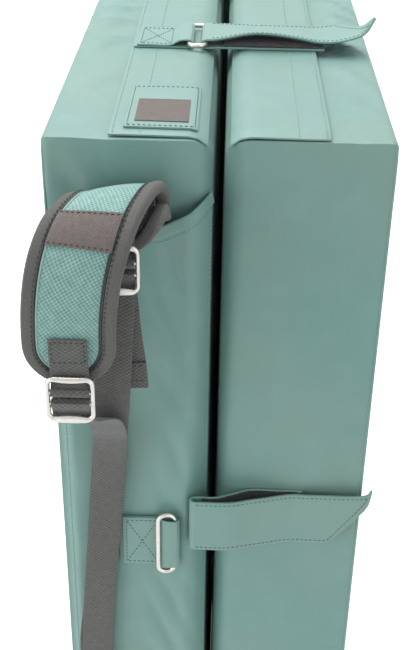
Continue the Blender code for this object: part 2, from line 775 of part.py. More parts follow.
def buckle(path, prefix):
    """A frame with a loop bar and a grip bar, hanging in front of the strap's end. Gives its top."""
    top = path.place(path.length) + Vector((0, 0, BUCKLE_LAP))
    front_y = top.y - BUCKLE_FRONT
    half_width, half_thick = BUCKLE_WIDTH / 2, BUCKLE_THICK / 2

    def plate(inset, thick):
        """A rounded rectangle in the plane of X and Z."""
        width, low = half_width - inset, BUCKLE_HEIGHT - inset
        round_off = BUCKLE_CORNER - inset
        corners = ((width, -inset), (-width, -inset), (-width, -low), (width, -low))
        outline = []
        for i, (x, z) in enumerate(corners):
            centre = x - math.copysign(round_off, x), z - (round_off if i < 2 else -round_off)
            outline += arc(centre, round_off, 90 * i, 90 * (i + 1), CORNER_STEPS)
        bm = bmesh.new()
        rows = []
        for y in (-thick, thick):
            rows.append([bm.verts.new((top.x + x, front_y + y, top.z + z)) for x, z in outline])
        bm.faces.new(rows[0])
        bm.faces.new(reversed(rows[1]))
        for i in range(len(outline)):
            j = (i + 1) % len(outline)
            bm.faces.new((rows[0][i], rows[1][i], rows[1][j], rows[0][j]))
        return bm

    piece = put(prefix + "_buckle", plate(0, half_thick), "alloy")
    boolean(piece, cutter(prefix + "_buckle_window", plate(BUCKLE_RAIL, BUCKLE_THICK)))
    for number, down in enumerate((LOOP_BAR_DOWN, GRIP_BAR_DOWN)):
        bm = bmesh.new()
        circle = arc((0, 0), BUCKLE_BAR / 2, 0, 360 - 360 / BAR_SIDES, BAR_SIDES - 1)
        reach = half_width - BUCKLE_RAIL / 2
        rows = []
        for x in (-reach, reach):
            rows.append([bm.verts.new((top.x + x, front_y + y, top.z - down + z)) for y, z in circle])
        bm.faces.new(rows[0])
        bm.faces.new(reversed(rows[1]))
        for i in range(BAR_SIDES):
            j = (i + 1) % BAR_SIDES
            bm.faces.new((rows[0][i], rows[1][i], rows[1][j], rows[0][j]))
        bar = put(prefix + "_bar_" + str(number), bm, "alloy")
        bar.hide_render = True
        bar.display_type = "WIRE"
        boolean(piece, bar, "UNION")
    return Vector((top.x, front_y, top.z))


def wrap(bar, radius, steps, start, end):
    """Points round a bar, seen along X, with angles from the front upwards."""
    angles = [math.radians(start + (end - start) * i / steps) for i in range(steps + 1)]
    return [Vector((bar.x, bar.y - radius * math.cos(a), bar.z + radius * math.sin(a))) for a in angles]


def strap_loop(path, hang, prefix):
    """The short loop sewn round the strap's end and over the buckle's loop bar."""
    radius = BUCKLE_BAR / 2 + SEAT + WEBBING_THICK / 2
    bar = Vector((hang.x, hang.y, hang.z - LOOP_BAR_DOWN))
    off = PAD_THICK / 2 + PAD_CROWN + SEAT * 3 + WEBBING_THICK / 2
    shares = [i / PATH_STEPS for i in range(PATH_STEPS + 1)]
    start, end = path.length - LOOP_SEWN, path.length - BUCKLE_LAP
    front = [(start + (end - start) * share, off) for share in shares]
    back = [(path.length - LOOP_SEWN * share, -off) for share in shares]
    front, back = (
        [[path.place(distance, side * WEBBING / 2, out) for side in (-1, 1)] for distance, out in places]
        for places in (front, back)
    )
    under = path.place(path.length, 0, -off) - Vector((0, 0, WEBBING_THICK + SEAT * 2))
    behind = Vector((hang.x, hang.y + BUCKLE_THICK / 2 + SEAT + WEBBING_THICK, hang.z - BUCKLE_CORNER))
    half = Vector((WEBBING / 2, 0, 0))
    turn = [behind, *wrap(bar, radius, WRAP_STEPS, LOOP_TURN, -LOOP_TURN), under]
    columns = front + [[point - half, point + half] for point in turn] + back
    put(prefix + "_loop", sheet(columns, WEBBING_THICK), "dark_webbing")


def webbing(hang, prefix, places, tail):
    """The adjusting webbing from its anchor round the buckle's grip bar, with its tail hemmed at the end."""
    radius = BUCKLE_BAR / 2 + SEAT + WEBBING_THICK / 2
    bar = Vector((hang.x, hang.y, hang.z - GRIP_BAR_DOWN))
    behind = hang.y + BUCKLE_THICK / 2 + SEAT + WEBBING_THICK
    line = spline(places, PATH_STEPS)
    line += [Vector((hang.x, behind, hang.z - BUCKLE_HEIGHT + rise)) for rise in (0, BUCKLE_RAIL + BUCKLE_BAR / 2)]
    line += wrap(bar, radius, WRAP_STEPS, -80, 90)
    slot_back = Vector((hang.x, behind + WEBBING_THICK * 2 + SEAT, bar.z))
    line += spline([slot_back, *(slot_back + Vector(step) for step in tail)], PATH_STEPS)
    down = (line[-1] - line[-2]).normalized()
    turn = Vector((0, -WEBBING_THICK - SEAT, 0))
    line += [line[-1] + turn, line[-1] + turn - down * TAIL_HEM]
    put(prefix + "_webbing", strip(line, (1, 0, 0), WEBBING, WEBBING_THICK), "dark_webbing")


def anchor(prefix, place):
    """The patch sewn over the webbing's lower end."""
    x, y, z = place
    front = y - WEBBING_THICK / 2 - SEAT * 2
    slab(
        prefix + "_anchor",
        (x - ANCHOR_WIDTH / 2, front, z - SEAT),
        (x + ANCHOR_WIDTH / 2, front - FABRIC, z + ANCHOR_LENGTH),
        "strap_fabric",
    )


def root(path, prefix, place):
    """The tape inside the pocket that the shoulder strap is sewn on."""
    y, bend = place[0], HEIGHT + place[1]
    start = path.place(0)
    along = (path.line[1] - path.line[0]).normalized()
    line = [(start.x, y, bend - ROOT_DOWN), (start.x, y, bend), start - along * ROOT_CLEAR]
    put(prefix + "_root", strip(line, (1, 0, 0), ROOT_WIDTH, ROOT_THICK), "dark_webbing")


def badge(path):
    """The plain band sewn across the first strap's pad."""
    off = PAD_THICK / 2 + PAD_CROWN + SEAT + BADGE_THICK / 2
    columns = []
    for i in range(PATH_STEPS + 1):
        distance = BADGE_FROM + (BADGE_TO - BADGE_FROM) * i / PATH_STEPS
        columns.append([path.place(distance, side * PAD_WIDTH / 2, off) for side in (-1, 0, 1)])
    put("strap_badge", sheet(columns, BADGE_THICK), "brown_panel")


def from_top(points):
    return [(x, y, HEIGHT + drop) for x, y, drop in points]


def shoulder_strap(prefix, points, root_place, low, high, tail):
    path = Path(from_top(points))
    places = [*low, *from_top(high)]
    root(path, prefix, root_place)
    pad_and_binding(path, prefix)
    hang = buckle(path, prefix)
    strap_loop(path, hang, prefix)
    webbing(hang, prefix, places, tail)
    anchor(prefix, places[0])
    return path


def harness():
    first = shoulder_strap(
        "first_strap", FIRST_STRAP, FIRST_ROOT, FIRST_WEBBING_LOW, FIRST_WEBBING_HIGH, FIRST_TAIL
    )
    badge(first)
    shoulder_strap(
        "second_strap", SECOND_STRAP, SECOND_ROOT, SECOND_WEBBING_LOW, SECOND_WEBBING_HIGH, SECOND_TAIL
    )


def build():
    clear_scene()
    for side, prefix in ((-1, "left"), (1, "right")):
        cover(side, prefix + "_cover")
        foams(side, prefix)
        access_flap(side, prefix)
        hinge_leaf(side, prefix + "_hinge_leaf")
    label()
    pocket()
    closures()
    harness()


build()
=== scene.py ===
"""Dresses the crash pad's frame: soft covers, pocket, straps, shoulder straps, webbing and metal fittings,
with their materials, and sets up the camera and the studio. Sizes are in metres and angles in degrees."""

import math

import bmesh
import bpy
from mathutils import Matrix, Vector, noise


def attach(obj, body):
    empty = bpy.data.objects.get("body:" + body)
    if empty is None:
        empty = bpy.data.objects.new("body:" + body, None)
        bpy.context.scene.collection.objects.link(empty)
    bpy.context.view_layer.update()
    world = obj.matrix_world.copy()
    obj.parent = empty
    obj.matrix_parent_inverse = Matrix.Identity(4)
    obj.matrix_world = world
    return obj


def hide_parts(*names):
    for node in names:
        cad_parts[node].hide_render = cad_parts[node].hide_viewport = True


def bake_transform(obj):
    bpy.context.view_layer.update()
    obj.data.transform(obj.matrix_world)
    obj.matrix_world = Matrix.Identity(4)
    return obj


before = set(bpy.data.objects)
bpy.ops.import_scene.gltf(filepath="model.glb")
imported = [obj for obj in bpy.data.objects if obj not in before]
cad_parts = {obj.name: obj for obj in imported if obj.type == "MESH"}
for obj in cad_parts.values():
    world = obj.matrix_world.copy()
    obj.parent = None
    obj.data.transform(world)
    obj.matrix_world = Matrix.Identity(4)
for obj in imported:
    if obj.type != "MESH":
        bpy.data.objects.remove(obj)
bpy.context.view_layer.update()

# The pad's own places, measured from the front face and the middle of the gap, shifted to the row frame
SHIFT = Vector((-0.0012, -0.28135, 0))
HEIGHT = 1.000
DEPTH = 0.660
INNER_X = 0.004
OUTER_X = 0.124
SEAT = 0.0004
FABRIC = 0.0012
MERGE_AT = 0.00002

# Covers
OUTER_CROWN = 0.006
INNER_CROWN = 0.0030
END_CROWN = 0.0016
EDGE_ROUND = 0.018
SEAM_ROUND = 0.0045
WELT = 0.0022
FOOT_WELT = 0.0039
FOOT_WELT_START = 0.0010
FOOT_WELT_PAST = 0.0016
COVER_CELL = 0.0080
FRONT_BULGE = 0.0030
FOLD_WANDER = 0.9
FOLD_WANDER_SCALE = 7

# Access flaps and label
FLAP_END = 0.006
FLAP_NEAR = 0.0075
FLAP_FAR = 0.077
FLAP_LOW = 0.0032
FLAP_THICK = 0.0012
FLAP_REACH = 0.0048
FLAP_TUCK = 0.0026
FLAP_TUCK_FROM = 0.012
FLAP_RIPPLE = 0.0005
LABEL_NEAR = 0.015
LABEL_WIDTH = 0.052
LABEL_START = 0.008
LABEL_LENGTH = 0.086
LABEL_EDGE = 0.0022
PRINT_WIDTH = 0.038
PRINT_LENGTH = 0.045
PRINT_START = 0.0095
PRINT_THICK = 0.0006
PRINT_RISE = 0.0004
TAPE_FAR = 0.074
TAPE_WIDTH = 0.022
TAPE_THICK = 0.0010
TAPE_MARGIN = 0.006

# Pocket
POCKET_DEPTH = 0.0100
POCKET_RAMP = 0.014
POCKET_FOOT = 0.012
POCKET_TURN = 58
POCKET_CELLS = (64, 170)
MOUTH_DROP = 0.062
MOUTH_RISE = 0.0205
MOUTH_BEND = 0.038
MOUTH_POWER = 1.15
POCKET_FOLD = 0.0026
HEM_START = 0.016
HEM_WIDTH = 0.0088
HEM_THICK = 0.0021
HEM_DROP = 0.0045
HEM_OUT = 0.0002
HEM_STITCH_DROP = 0.0125

# Closures
FRONT_LEVEL = 0.0020
POCKET_LEVEL = 0.0120
TOP_LEVEL = 0.0048
RING_WIRE = 0.0040
RING_SHORT = 0.0180
RING_LONG = 0.0650
RING_CORNER = 0.0065
TAB_THICK = 0.0014
TAB_LENGTH = 0.046
TAB_RISE = 0.008
TAB_LAYER_GAP = 0.0003
BAR_SLACK = 0.0005
BAR_AT = 0.0295
THREADED_BAR_AT = 0.0290
STRAP_WIDTH = 0.050
STRAP_THICK = 0.0018
LINING_THICK = 0.0010
LINING_EDGE = 0.004
STRAP_SEWN_END = 0.074
STRAP_SEWN_START = 0.032
STRAP_SEWN_PAST = 0.010
STRAP_SETTLED_AT = 0.064
STRAP_SETTLED_RUN = 0.014
STRAP_FOLD_AT = 0.0170
FOLD_ROUND = 0.0034
STRAP_LIFT = 0.0014
CUT_START = 0.095
CUT_SHARE = 1.02
TIP_SHARE = 0.86
TIP_DROP = 0.0085
TIP_PAST = 0.0075
TOP_TIP_RISE = 0.022
WRAP_END = 0.030
PEEL_BEND = 0.018
FOLD_MEET = 0.0003
SEAM_GAP = 0.00002
MOUTH_LIFT = 0.0075
MOUTH_NEAR = 0.044
MOUTH_FAR = 0.070
PILE_INSET = 0.0004
FRONT_PLACES = (0.333, 0.6735)
TOP_PLACES = (0.2198, 0.4409)
LOOSE_TAB_DROP = 0.0235

# Shoulder straps
PAD_WIDTH = 0.044
PAD_THICK = 0.0080
PAD_CROWN = 0.0012
PAD_CELL = 0.0035
PAD_UNEVEN = 0.0004
PAD_SEAM_SHARE = 0.65
BACKING_THICK = 0.0003
BINDING = 0.0095
BINDING_THICK = 0.0090
BINDING_PINCH = 0.94
RIM_STEP = 0.004
ROOT_WIDTH = 0.042
ROOT_THICK = 0.0014
ROOT_DOWN = 0.060
ROOT_CLEAR = 0.0022
LEAN = 0.17
BADGE_FROM = 0.066
BADGE_TO = 0.0905
BADGE_THICK = 0.0008
BADGE_SLANT = 0.16
BADGE_EDGE = 0.0016
BADGE_SEAM = 0.0215
# Thickness of the piping beside the binding, which carries a painted highlight and painted shade
PAINTED_SHADING_CORD = 0.0014
FIRST_STRAP = (
    (-0.0660, -0.0068, -0.0480),
    (-0.0670, -0.0180, -0.0330),
    (-0.0730, -0.0400, -0.0270),
    (-0.0830, -0.0670, -0.0350),
    (-0.0920, -0.0840, -0.0590),
    (-0.0970, -0.0880, -0.0970),
    (-0.0970, -0.0862, -0.1455),
)
SECOND_STRAP = (
    (-0.0640, -0.0170, -0.0540),
    (-0.0650, -0.0260, -0.0455),
    (-0.0660, -0.0400, -0.0450),
    (-0.0670, -0.0500, -0.0495),
    (-0.0675, -0.0545, -0.0615),
)
FIRST_ROOT = (-0.0042, -0.060)
SECOND_ROOT = (-0.0080, -0.0608)

# Webbings and buckles
WEBBING = 0.0265
WEBBING_THICK = 0.0014
WEBBING_CELL = 0.0035
LOOP_SEWN = 0.025
FIRST_LOOP_FRONT = 0.040
SECOND_LOOP_FRONT = 0.025
LOOP_TURN = 110
BUCKLE_WIDTH = 0.034
BUCKLE_HEIGHT = 0.037
BUCKLE_LAP = 0.012
BUCKLE_FRONT = 0.0108
BUCKLE_THICK = 0.0036
BUCKLE_CORNER = 0.0065
BUCKLE_RAIL = 0.0034
PLATE_RISE = 0.0030
LOW_RAIL_BOW = 0.0016
HIGH_RAIL_BOW = 0.0006
BUCKLE_BAR = 0.0030
LOOP_BAR_DOWN = 0.0130
GRIP_BAR_DOWN = 0.0218
ANCHOR_LENGTH = 0.046
ANCHOR_WIDTH = 0.030
TAIL_HEM = 0.022
FIRST_LIFT = (0.56, 0.755)
SECOND_LIFT = (0.80, 0.840)
BUCKLE_FOLLOW = 0.030
FIRST_WEBBING = (
    (-0.0990, -0.0136, 0.062),
    (-0.0990, -0.0136, 0.115),
    (-0.0990, -0.0190, 0.200),
    (-0.0985, -0.0190, 0.400),
    (-0.0965, -0.0190, 0.550),
    (-0.0850, -0.0190, 0.690),
    (-0.0795, -0.0270, 0.755),
    (-0.0785, -0.0450, 0.788),
    (-0.0830, -0.0600, 0.806),
    (-0.0940, -0.0800, 0.819),
)
SECOND_WEBBING = (
    (-0.0670, -0.0136, 0.062),
    (-0.0670, -0.0136, 0.115),
    (-0.0670, -0.0168, 0.200),
    (-0.0680, -0.0168, 0.350),
    (-0.0990, -0.0168, 0.500),
    (-0.0940, -0.0168, 0.590),
    (-0.0850, -0.0168, 0.700),
    (-0.0812, -0.0180, 0.745),
    (-0.0780, -0.0320, 0.778),
    (-0.0750, -0.0480, 0.805),
    (-0.0722, -0.0570, 0.840),
    (-0.0700, -0.0600, 0.880),
)
FIRST_TAIL = ((0, 0.0095, -0.005), (0, 0.0155, -0.001), (0, 0.0170, 0.012), (0, 0.0165, 0.040))
SECOND_TAIL = ((0.0030, 0.0040, -0.050), (0.0060, 0.0075, -0.080), (0.0072, 0.0085, -0.100))

# Hinge strip at the back
HINGE_LEAF = 0.060
HINGE_Y = 0.6625
HINGE_THICK = 0.0010
HINGE_END = 0.002

# Stitches
STITCH = 0.0024
STITCH_GAP = 0.0012
STITCH_WIDE = 0.00042
STITCH_SUNK = 0.35
STITCH_EDGE = 0.0028

# Camera fitted to the photograph
IMAGE_LONG = 650
FOCAL_PIXELS = 1116.3
SENSOR = 36
CAMERA_AT = (0.0058, -0.724, 1.2813)
YAW = -0.0167
PITCH = 0.5347
ROLL = 0.0182

# Studio: each lamp's place, aim, size and power
LAMPS = {
    "overhead": ((-0.5, 0.7, 3.0), (0, 0, 0.8), (2.2, 2.2), 66),
    "left_fill": ((-2.4, -1.8, 1.2), (0, -0.3, 0.6), (1.6, 2.2), 26),
    "right_fill": ((2.2, -2.2, 1.5), (0.1, -0.3, 0.7), (1.4, 1.8), 15),
}
SKY = (0.93, 0.97, 1.0)
SKY_STRENGTH = 0.40
FLOOR_SIZE = 6
FLOOR_WHITE = (0.92, 0.92, 0.92)
FLOOR_PALE = (0.90, 0.90, 0.90)
FLOOR_GLOW = 0.58

# Colours of the finishes
TEAL = (0.190, 0.375, 0.335)
TEAL_PATCH = (0.285, 0.385, 0.315)
TEAL_STRAP = (0.215, 0.395, 0.355)
TWILL_LIGHT = (0.360, 0.600, 0.550)
TWILL_DARK = (0.080, 0.215, 0.195)
GREY_WEBBING = (0.082, 0.084, 0.078)
BINDING_GREY = (0.088, 0.086, 0.080)
PILE = (0.022, 0.024, 0.024)
BROWN = (0.128, 0.105, 0.096)
METAL = (0.640, 0.615, 0.580)
THREAD_TEAL = (0.085, 0.185, 0.170)
THREAD_DARK = (0.025, 0.025, 0.024)
THREAD_PALE = (0.330, 0.500, 0.455)
PATCH_SHARE = 0.44
WEAVE_SHARE = 0.18


def own(x, y, z):
    return Vector((x, y, z)) + SHIFT


def add(name, data):
    """Makes an object of the data and puts it in the scene."""
    made = bpy.data.objects.new(name, data)
    bpy.context.scene.collection.objects.link(made)
    return made


# Camera, floor and lights


def camera():
    forward = Vector((math.sin(YAW) * math.cos(PITCH), math.cos(YAW) * math.cos(PITCH), -math.sin(PITCH)))
    level = Vector((math.cos(YAW), -math.sin(YAW), 0))
    above = level.cross(forward)
    right = level * math.cos(ROLL) + above * math.sin(ROLL)
    up = above * math.cos(ROLL) - level * math.sin(ROLL)
    data = bpy.data.cameras.new("camera")
    data.sensor_width = SENSOR
    data.lens = FOCAL_PIXELS * SENSOR / IMAGE_LONG
    data.clip_start = 0.05
    data.clip_end = 50
    eye = add("camera", data)
    turn = Matrix((right, up, -forward)).transposed().to_4x4()
    eye.matrix_world = Matrix.Translation(own(*CAMERA_AT)) @ turn
    bpy.context.scene.camera = eye


def floor_sheet():
    """The floor: white to the camera where no shadow falls, with the object's soft shadow kept."""
    bm = bmesh.new()
    bmesh.ops.create_grid(bm, x_segments=1, y_segments=1, size=FLOOR_SIZE)
    mesh = bpy.data.meshes.new("floor")
    bm.to_mesh(mesh)
    bm.free()
    f = Finish("floor_white", 0.9)
    f.link(f.colours(f.noise(6, 2), FLOOR_WHITE, FLOOR_PALE), f.shader.inputs["Base Color"])
    f.shader.inputs["Emission Color"].default_value = (1, 1, 1, 1)
    glow = f.math("MULTIPLY", f.seen_by("Is Camera Ray", "Is Glossy Ray"), FLOOR_GLOW)
    f.link(glow, f.shader.inputs["Emission Strength"])
    mesh.materials.append(f.material)
    add("floor", mesh)


def studio():
    scene = bpy.context.scene
    scene.view_settings.view_transform = "Standard"
    scene.world = bpy.data.worlds.new("studio")
    scene.world.use_nodes = True
    scene.world.node_tree.nodes.clear()
    graph = Graph(scene.world.node_tree)
    out = graph.node("ShaderNodeOutputWorld")
    mix = graph.node("ShaderNodeMixShader")
    graph.link(graph.seen_by("Is Camera Ray", "Is Glossy Ray", "Is Transmission Ray"), mix.inputs["Fac"])
    for socket, colour, strength in ((1, SKY, SKY_STRENGTH), (2, (1, 1, 1), 1.0)):
        light = graph.node("ShaderNodeBackground")
        light.inputs["Color"].default_value = (*colour, 1)
        light.inputs["Strength"].default_value = strength
        graph.link(light.outputs[0], mix.inputs[socket])
    graph.link(mix.outputs[0], out.inputs["Surface"])
    for name, (place, aim, size, power) in LAMPS.items():
        data = bpy.data.lights.new(name, "AREA")
        data.shape = "RECTANGLE"
        data.size, data.size_y = size
        data.energy = power
        lamp = add(name, data)
        lamp.location = place
        lamp.rotation_euler = (Vector(aim) - Vector(place)).to_track_quat("-Z", "Y").to_euler()
    floor_sheet()


# Materials


class Graph:
    """Short calls for building a tree of nodes."""

    def __init__(self, tree):
        self.tree = tree

    def node(self, kind, **settings):
        node = self.tree.nodes.new(kind)
        for name, value in settings.items():
            setattr(node, name, value)
        return node

    def link(self, value, socket):
        if isinstance(value, bpy.types.NodeSocket):
            self.tree.links.new(value, socket)
        elif value is not None:
            socket.default_value = value

    def math(self, operation, a, b=None, c=None):
        node = self.node("ShaderNodeMath", operation=operation)
        for value, socket in zip((a, b, c), node.inputs):
            self.link(value, socket)
        return node.outputs[0]

    def seen_by(self, *rays):
        """1 for the kinds of ray named, and 0 for the rest."""
        path = self.node("ShaderNodeLightPath").outputs
        seen = path[rays[0]]
        for ray in rays[1:]:
            seen = self.math("MAXIMUM", seen, path[ray])
        return seen

    def split(self, kind):
        """The three parts of a texture place: Object or UV."""
        node = self.node("ShaderNodeSeparateXYZ")
        self.link(self.node("ShaderNodeTexCoord").outputs[kind], node.inputs[0])
        return node.outputs

    def noise(self, scale, detail=2.0, stretch=None):
        node = self.node("ShaderNodeTexNoise")
        self.link(scale, node.inputs["Scale"])
        node.inputs["Detail"].default_value = detail
        place = self.node("ShaderNodeTexCoord").outputs["Object"]
        if stretch:
            mapping = self.node("ShaderNodeMapping")
            mapping.inputs["Scale"].default_value = stretch
            self.link(place, mapping.inputs["Vector"])
            place = mapping.outputs[0]
        self.link(place, node.inputs["Vector"])
        return node.outputs["Fac"]

    def wave(self, value, length):
        """A wave from 0 to 1 that repeats at each length of the value."""
        turns = self.math("MULTIPLY", self.math("DIVIDE", value, length), 2 * math.pi)
        return self.math("MULTIPLY_ADD", self.math("SINE", turns), 0.5, 0.5)

    def colours(self, factor, first, second):
        node = self.node("ShaderNodeMix", data_type="RGBA")
        self.link(factor, node.inputs[0])
        for colour, socket in zip((first, second), node.inputs[6:8]):
            self.link((*colour, 1) if isinstance(colour, tuple) else colour, socket)
        return node.outputs[2]

    def ramp(self, value, low, high):
        node = self.node("ShaderNodeMapRange")
        for part, name in zip((value, low, high), ("Value", "From Min", "From Max")):
            self.link(part, node.inputs[name])
        return node.outputs["Result"]

    def bump(self, height, distance, strength=1.0, before=None):
        node = self.node("ShaderNodeBump")
        node.inputs["Strength"].default_value = strength
        node.inputs["Distance"].default_value = distance
        self.link(height, node.inputs["Height"])
        self.link(before, node.inputs["Normal"])
        return node.outputs[0]

    def place_group(self, name, **values):
        """Places a group with its named inputs, and gives its outputs."""
        node = self.node("ShaderNodeGroup", node_tree=bpy.data.node_groups[name])
        for socket, value in values.items():
            self.link(value, node.inputs[socket])
        return node.outputs


def new_group(name, inputs, outputs):
    tree = bpy.data.node_groups.new(name, "ShaderNodeTree")
    for way, sockets in (("INPUT", inputs), ("OUTPUT", outputs)):
        for socket in sockets:
            tree.interface.new_socket(socket, in_out=way, socket_type="NodeSocketFloat")
    graph = Graph(tree)
    return graph, graph.node("NodeGroupInput").outputs, graph.node("NodeGroupOutput").inputs


def weave_group():
    """Threads passing over and under each other, with uneven thickness."""
    graph, given, out = new_group("weave", ("U", "V", "Pitch"), ("Height", "Tone"))
    over = graph.wave(given["U"], given["Pitch"])
    under = graph.wave(given["V"], given["Pitch"])
    both = graph.math("MULTIPLY", over, under)
    neither = graph.math("MULTIPLY", graph.math("SUBTRACT", 1.0, over), graph.math("SUBTRACT", 1.0, under))
    checks = graph.math("ADD", both, neither)
    uneven = graph.noise(graph.math("DIVIDE", 0.6, given["Pitch"]), 1)
    graph.link(checks, out["Height"])
    graph.link(graph.math("MULTIPLY_ADD", uneven, 0.5, graph.math("MULTIPLY", checks, 0.75)), out["Tone"])


def wear_group():
    """Soft cloudiness, and paler rubbed patches."""
    graph, given, out = new_group("wear", ("Size", "Rub"), ("Cloud", "Rubs"))
    cloud = graph.ramp(graph.noise(graph.math("DIVIDE", 1.0, given["Size"]), 3), 0.35, 0.65)
    rubs = graph.ramp(graph.noise(graph.math("DIVIDE", 5.0, given["Size"]), 4), 0.48, 0.75)
    graph.link(cloud, out["Cloud"])
    graph.link(graph.math("MULTIPLY", rubs, given["Rub"]), out["Rubs"])


def crease_group():
    """Small soft creases in coated cloth, as a height."""
    graph, given, out = new_group("creases", ("Depth",), ("Height",))
    long_folds = graph.noise(9, 2, stretch=(1.0, 0.5, 0.35))
    short_folds = graph.noise(26, 3, stretch=(1.0, 0.8, 0.5))
    both = graph.math("MULTIPLY_ADD", short_folds, 0.35, long_folds)
    graph.link(graph.math("MULTIPLY", both, given["Depth"]), out["Height"])


def shade(colour, factor):
    return tuple(part * factor for part in colour)


class Finish(Graph):
    """A material with its shader, whose plain values are set on the shader itself."""

    def __init__(self, name, roughness, metallic=0.0, sheen=0.0):
        self.material = bpy.data.materials.new(name)
        self.material.use_nodes = True
        super().__init__(self.material.node_tree)
        self.shader = self.tree.nodes["Principled BSDF"]
        self.shader.inputs["Roughness"].default_value = roughness
        self.shader.inputs["Metallic"].default_value = metallic
        self.shader.inputs["Sheen Weight"].default_value = sheen

    def done(self, colour, normal, roughness=None):
        self.link(colour, self.shader.inputs["Base Color"])
        self.link(normal, self.shader.inputs["Normal"])
        self.link(roughness, self.shader.inputs["Roughness"])
        return self.material


def coated_fabric(name, colour, roughness=0.44, folds=1.0):
    """A smooth coated weave: fine plain weave, faint cloudiness and soft rubs."""
    f = Finish(name, roughness, sheen=0.12)
    x, y, z = f.split("Object")
    weave = f.place_group("weave", U=f.math("ADD", x, y), V=f.math("ADD", y, z), Pitch=0.0011)
    wear = f.place_group("wear", Size=0.11, Rub=0.25)
    creases = f.place_group("creases", Depth=folds)
    base = f.colours(f.math("MULTIPLY", wear["Cloud"], PATCH_SHARE), shade(colour, 0.97), TEAL_PATCH)
    base = f.colours(wear["Rubs"], base, shade(colour, 1.22))
    base = f.colours(f.math("MULTIPLY", weave["Tone"], WEAVE_SHARE), base, shade(colour, 0.75))
    normal = f.bump(weave["Height"], distance=0.00010, strength=0.4)
    normal = f.bump(creases["Height"], distance=0.010, strength=0.42, before=normal)
    return f.done(base, normal, f.math("MULTIPLY_ADD", wear["Cloud"], 0.10, roughness - 0.05))


def twill(name):
    """A heavier two-tone weave with small pale bumps in diagonal lines."""
    f = Finish(name, 0.70, sheen=0.25)
    u, v, _ = f.split("UV")
    slant = f.math("MULTIPLY_ADD", u, 0.22, v)
    weave = f.place_group("weave", U=u, V=slant, Pitch=0.0032)
    wear = f.place_group("wear", Size=0.05, Rub=0.25)
    base = f.colours(f.math("POWER", weave["Tone"], 1.2), TWILL_DARK, TWILL_LIGHT)
    base = f.colours(wear["Rubs"], base, TWILL_LIGHT)
    return f.done(base, f.bump(weave["Height"], distance=0.0006, strength=0.9))


def ribbed(name, colour, pitch=0.0030, fuzz=0.35):
    """Woven tape or webbing: small ribs in rows, and a fuzzy surface."""
    f = Finish(name, 0.78, sheen=0.22)
    u, v, _ = f.split("UV")
    weave = f.place_group("weave", U=u, V=f.math("MULTIPLY", v, 0.7), Pitch=pitch)
    wear = f.place_group("wear", Size=0.04, Rub=0.30)
    hair = f.noise(900, 2)
    tone = f.math("MULTIPLY_ADD", hair, fuzz, f.math("MULTIPLY", weave["Tone"], 0.85))
    base = f.colours(tone, shade(colour, 0.30), shade(colour, 1.85))
    base = f.colours(wear["Rubs"], base, shade(colour, 1.6))
    return f.done(base, f.bump(weave["Height"], distance=0.0005, strength=0.9))


def pile_face(name, colour):
    """The dark fuzzy face of hook-and-loop tape."""
    f = Finish(name, 0.95, sheen=0.4)
    fuzz = f.noise(700, 4)
    base = f.colours(f.ramp(fuzz, 0.3, 0.75), shade(colour, 0.4), shade(colour, 2.6))
    return f.done(base, f.bump(f.math("ADD", fuzz, f.noise(200, 3)), distance=0.0012))


def satin_alloy(name):
    """Satin cast alloy with faint casting marks."""
    f = Finish(name, 0.26, metallic=1.0)
    marks = f.noise(260, 3)
    wear = f.place_group("wear", Size=0.012, Rub=0.5)
    base = f.colours(f.ramp(marks, 0.3, 0.7), shade(METAL, 0.92), METAL)
    base = f.colours(wear["Rubs"], base, shade(METAL, 0.80))
    normal = f.bump(marks, distance=0.0002, strength=0.3)
    return f.done(base, normal, f.math("MULTIPLY_ADD", wear["Cloud"], 0.14, 0.24))


def thread(name, colour):
    f = Finish(name, 0.7, sheen=0.2)
    twist = f.noise(1500, 1)
    base = f.colours(twist, shade(colour, 0.7), shade(colour, 1.3))
    return f.done(base, f.bump(twist, distance=0.0002, strength=0.6))


# Each finish: the record's slot, how its material is made, and that material's name and values
FINISHES = {
    "cover": ("cover_fabric", coated_fabric, "coated_cover", TEAL),
    "strap": ("strap_fabric", coated_fabric, "coated_strap", TEAL_STRAP, 0.5, 0.35),
    "twill": ("strap_fabric", twill, "strap_twill"),
    "webbing": ("dark_webbing", ribbed, "ribbed_webbing", GREY_WEBBING),
    "binding": ("binding_tape", ribbed, "binding_weave", BINDING_GREY, 0.0010, 0.7),
    "mesh": ("binding_tape", ribbed, "dark_backing_mesh", BINDING_GREY, 0.0036, 0.3),
    "pile": ("hook_and_loop", pile_face, "hook_loop_pile", PILE),
    "brown": ("brown_panel", ribbed, "brown_weave", BROWN, 0.0016, 0.3),
    "metal": ("alloy", satin_alloy, "satin_alloy"),
    "thread": ("strap_fabric", thread, "teal_thread", THREAD_TEAL),
    "dark_thread": ("dark_webbing", thread, "dark_thread", THREAD_DARK),
    "pale_thread": ("strap_fabric", thread, "pale_thread", THREAD_PALE),
}
MATERIALS = {}


def materials():
    weave_group()
    wear_group()
    crease_group()
    for finish, (_, make, *values) in FINISHES.items():
        MATERIALS[finish] = make(*values)


# Making pieces


def piece(name, bm, finish, body, nodes=(), sharp=42):
    """Makes a piece of a mesh in the pad's own places, on its body, in place of the solids it replaces."""
    bmesh.ops.translate(bm, vec=SHIFT, verts=bm.verts)
    bmesh.ops.recalc_face_normals(bm, faces=bm.faces)
    mesh = bpy.data.meshes.new(name)
    bm.to_mesh(mesh)
    bm.free()
    mesh.materials.append(MATERIALS[finish])
    mesh.shade_smooth()
    mesh.set_sharp_from_angle(angle=math.radians(sharp))
    made = add(name, mesh)
    if body:
        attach(made, body)
    if nodes:
        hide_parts(*nodes)
    return made


def geometry(bm):
    return bm.verts[:] + bm.edges[:] + bm.faces[:]


def only(kind, parts):
    return [part for part in parts if isinstance(part, kind)]


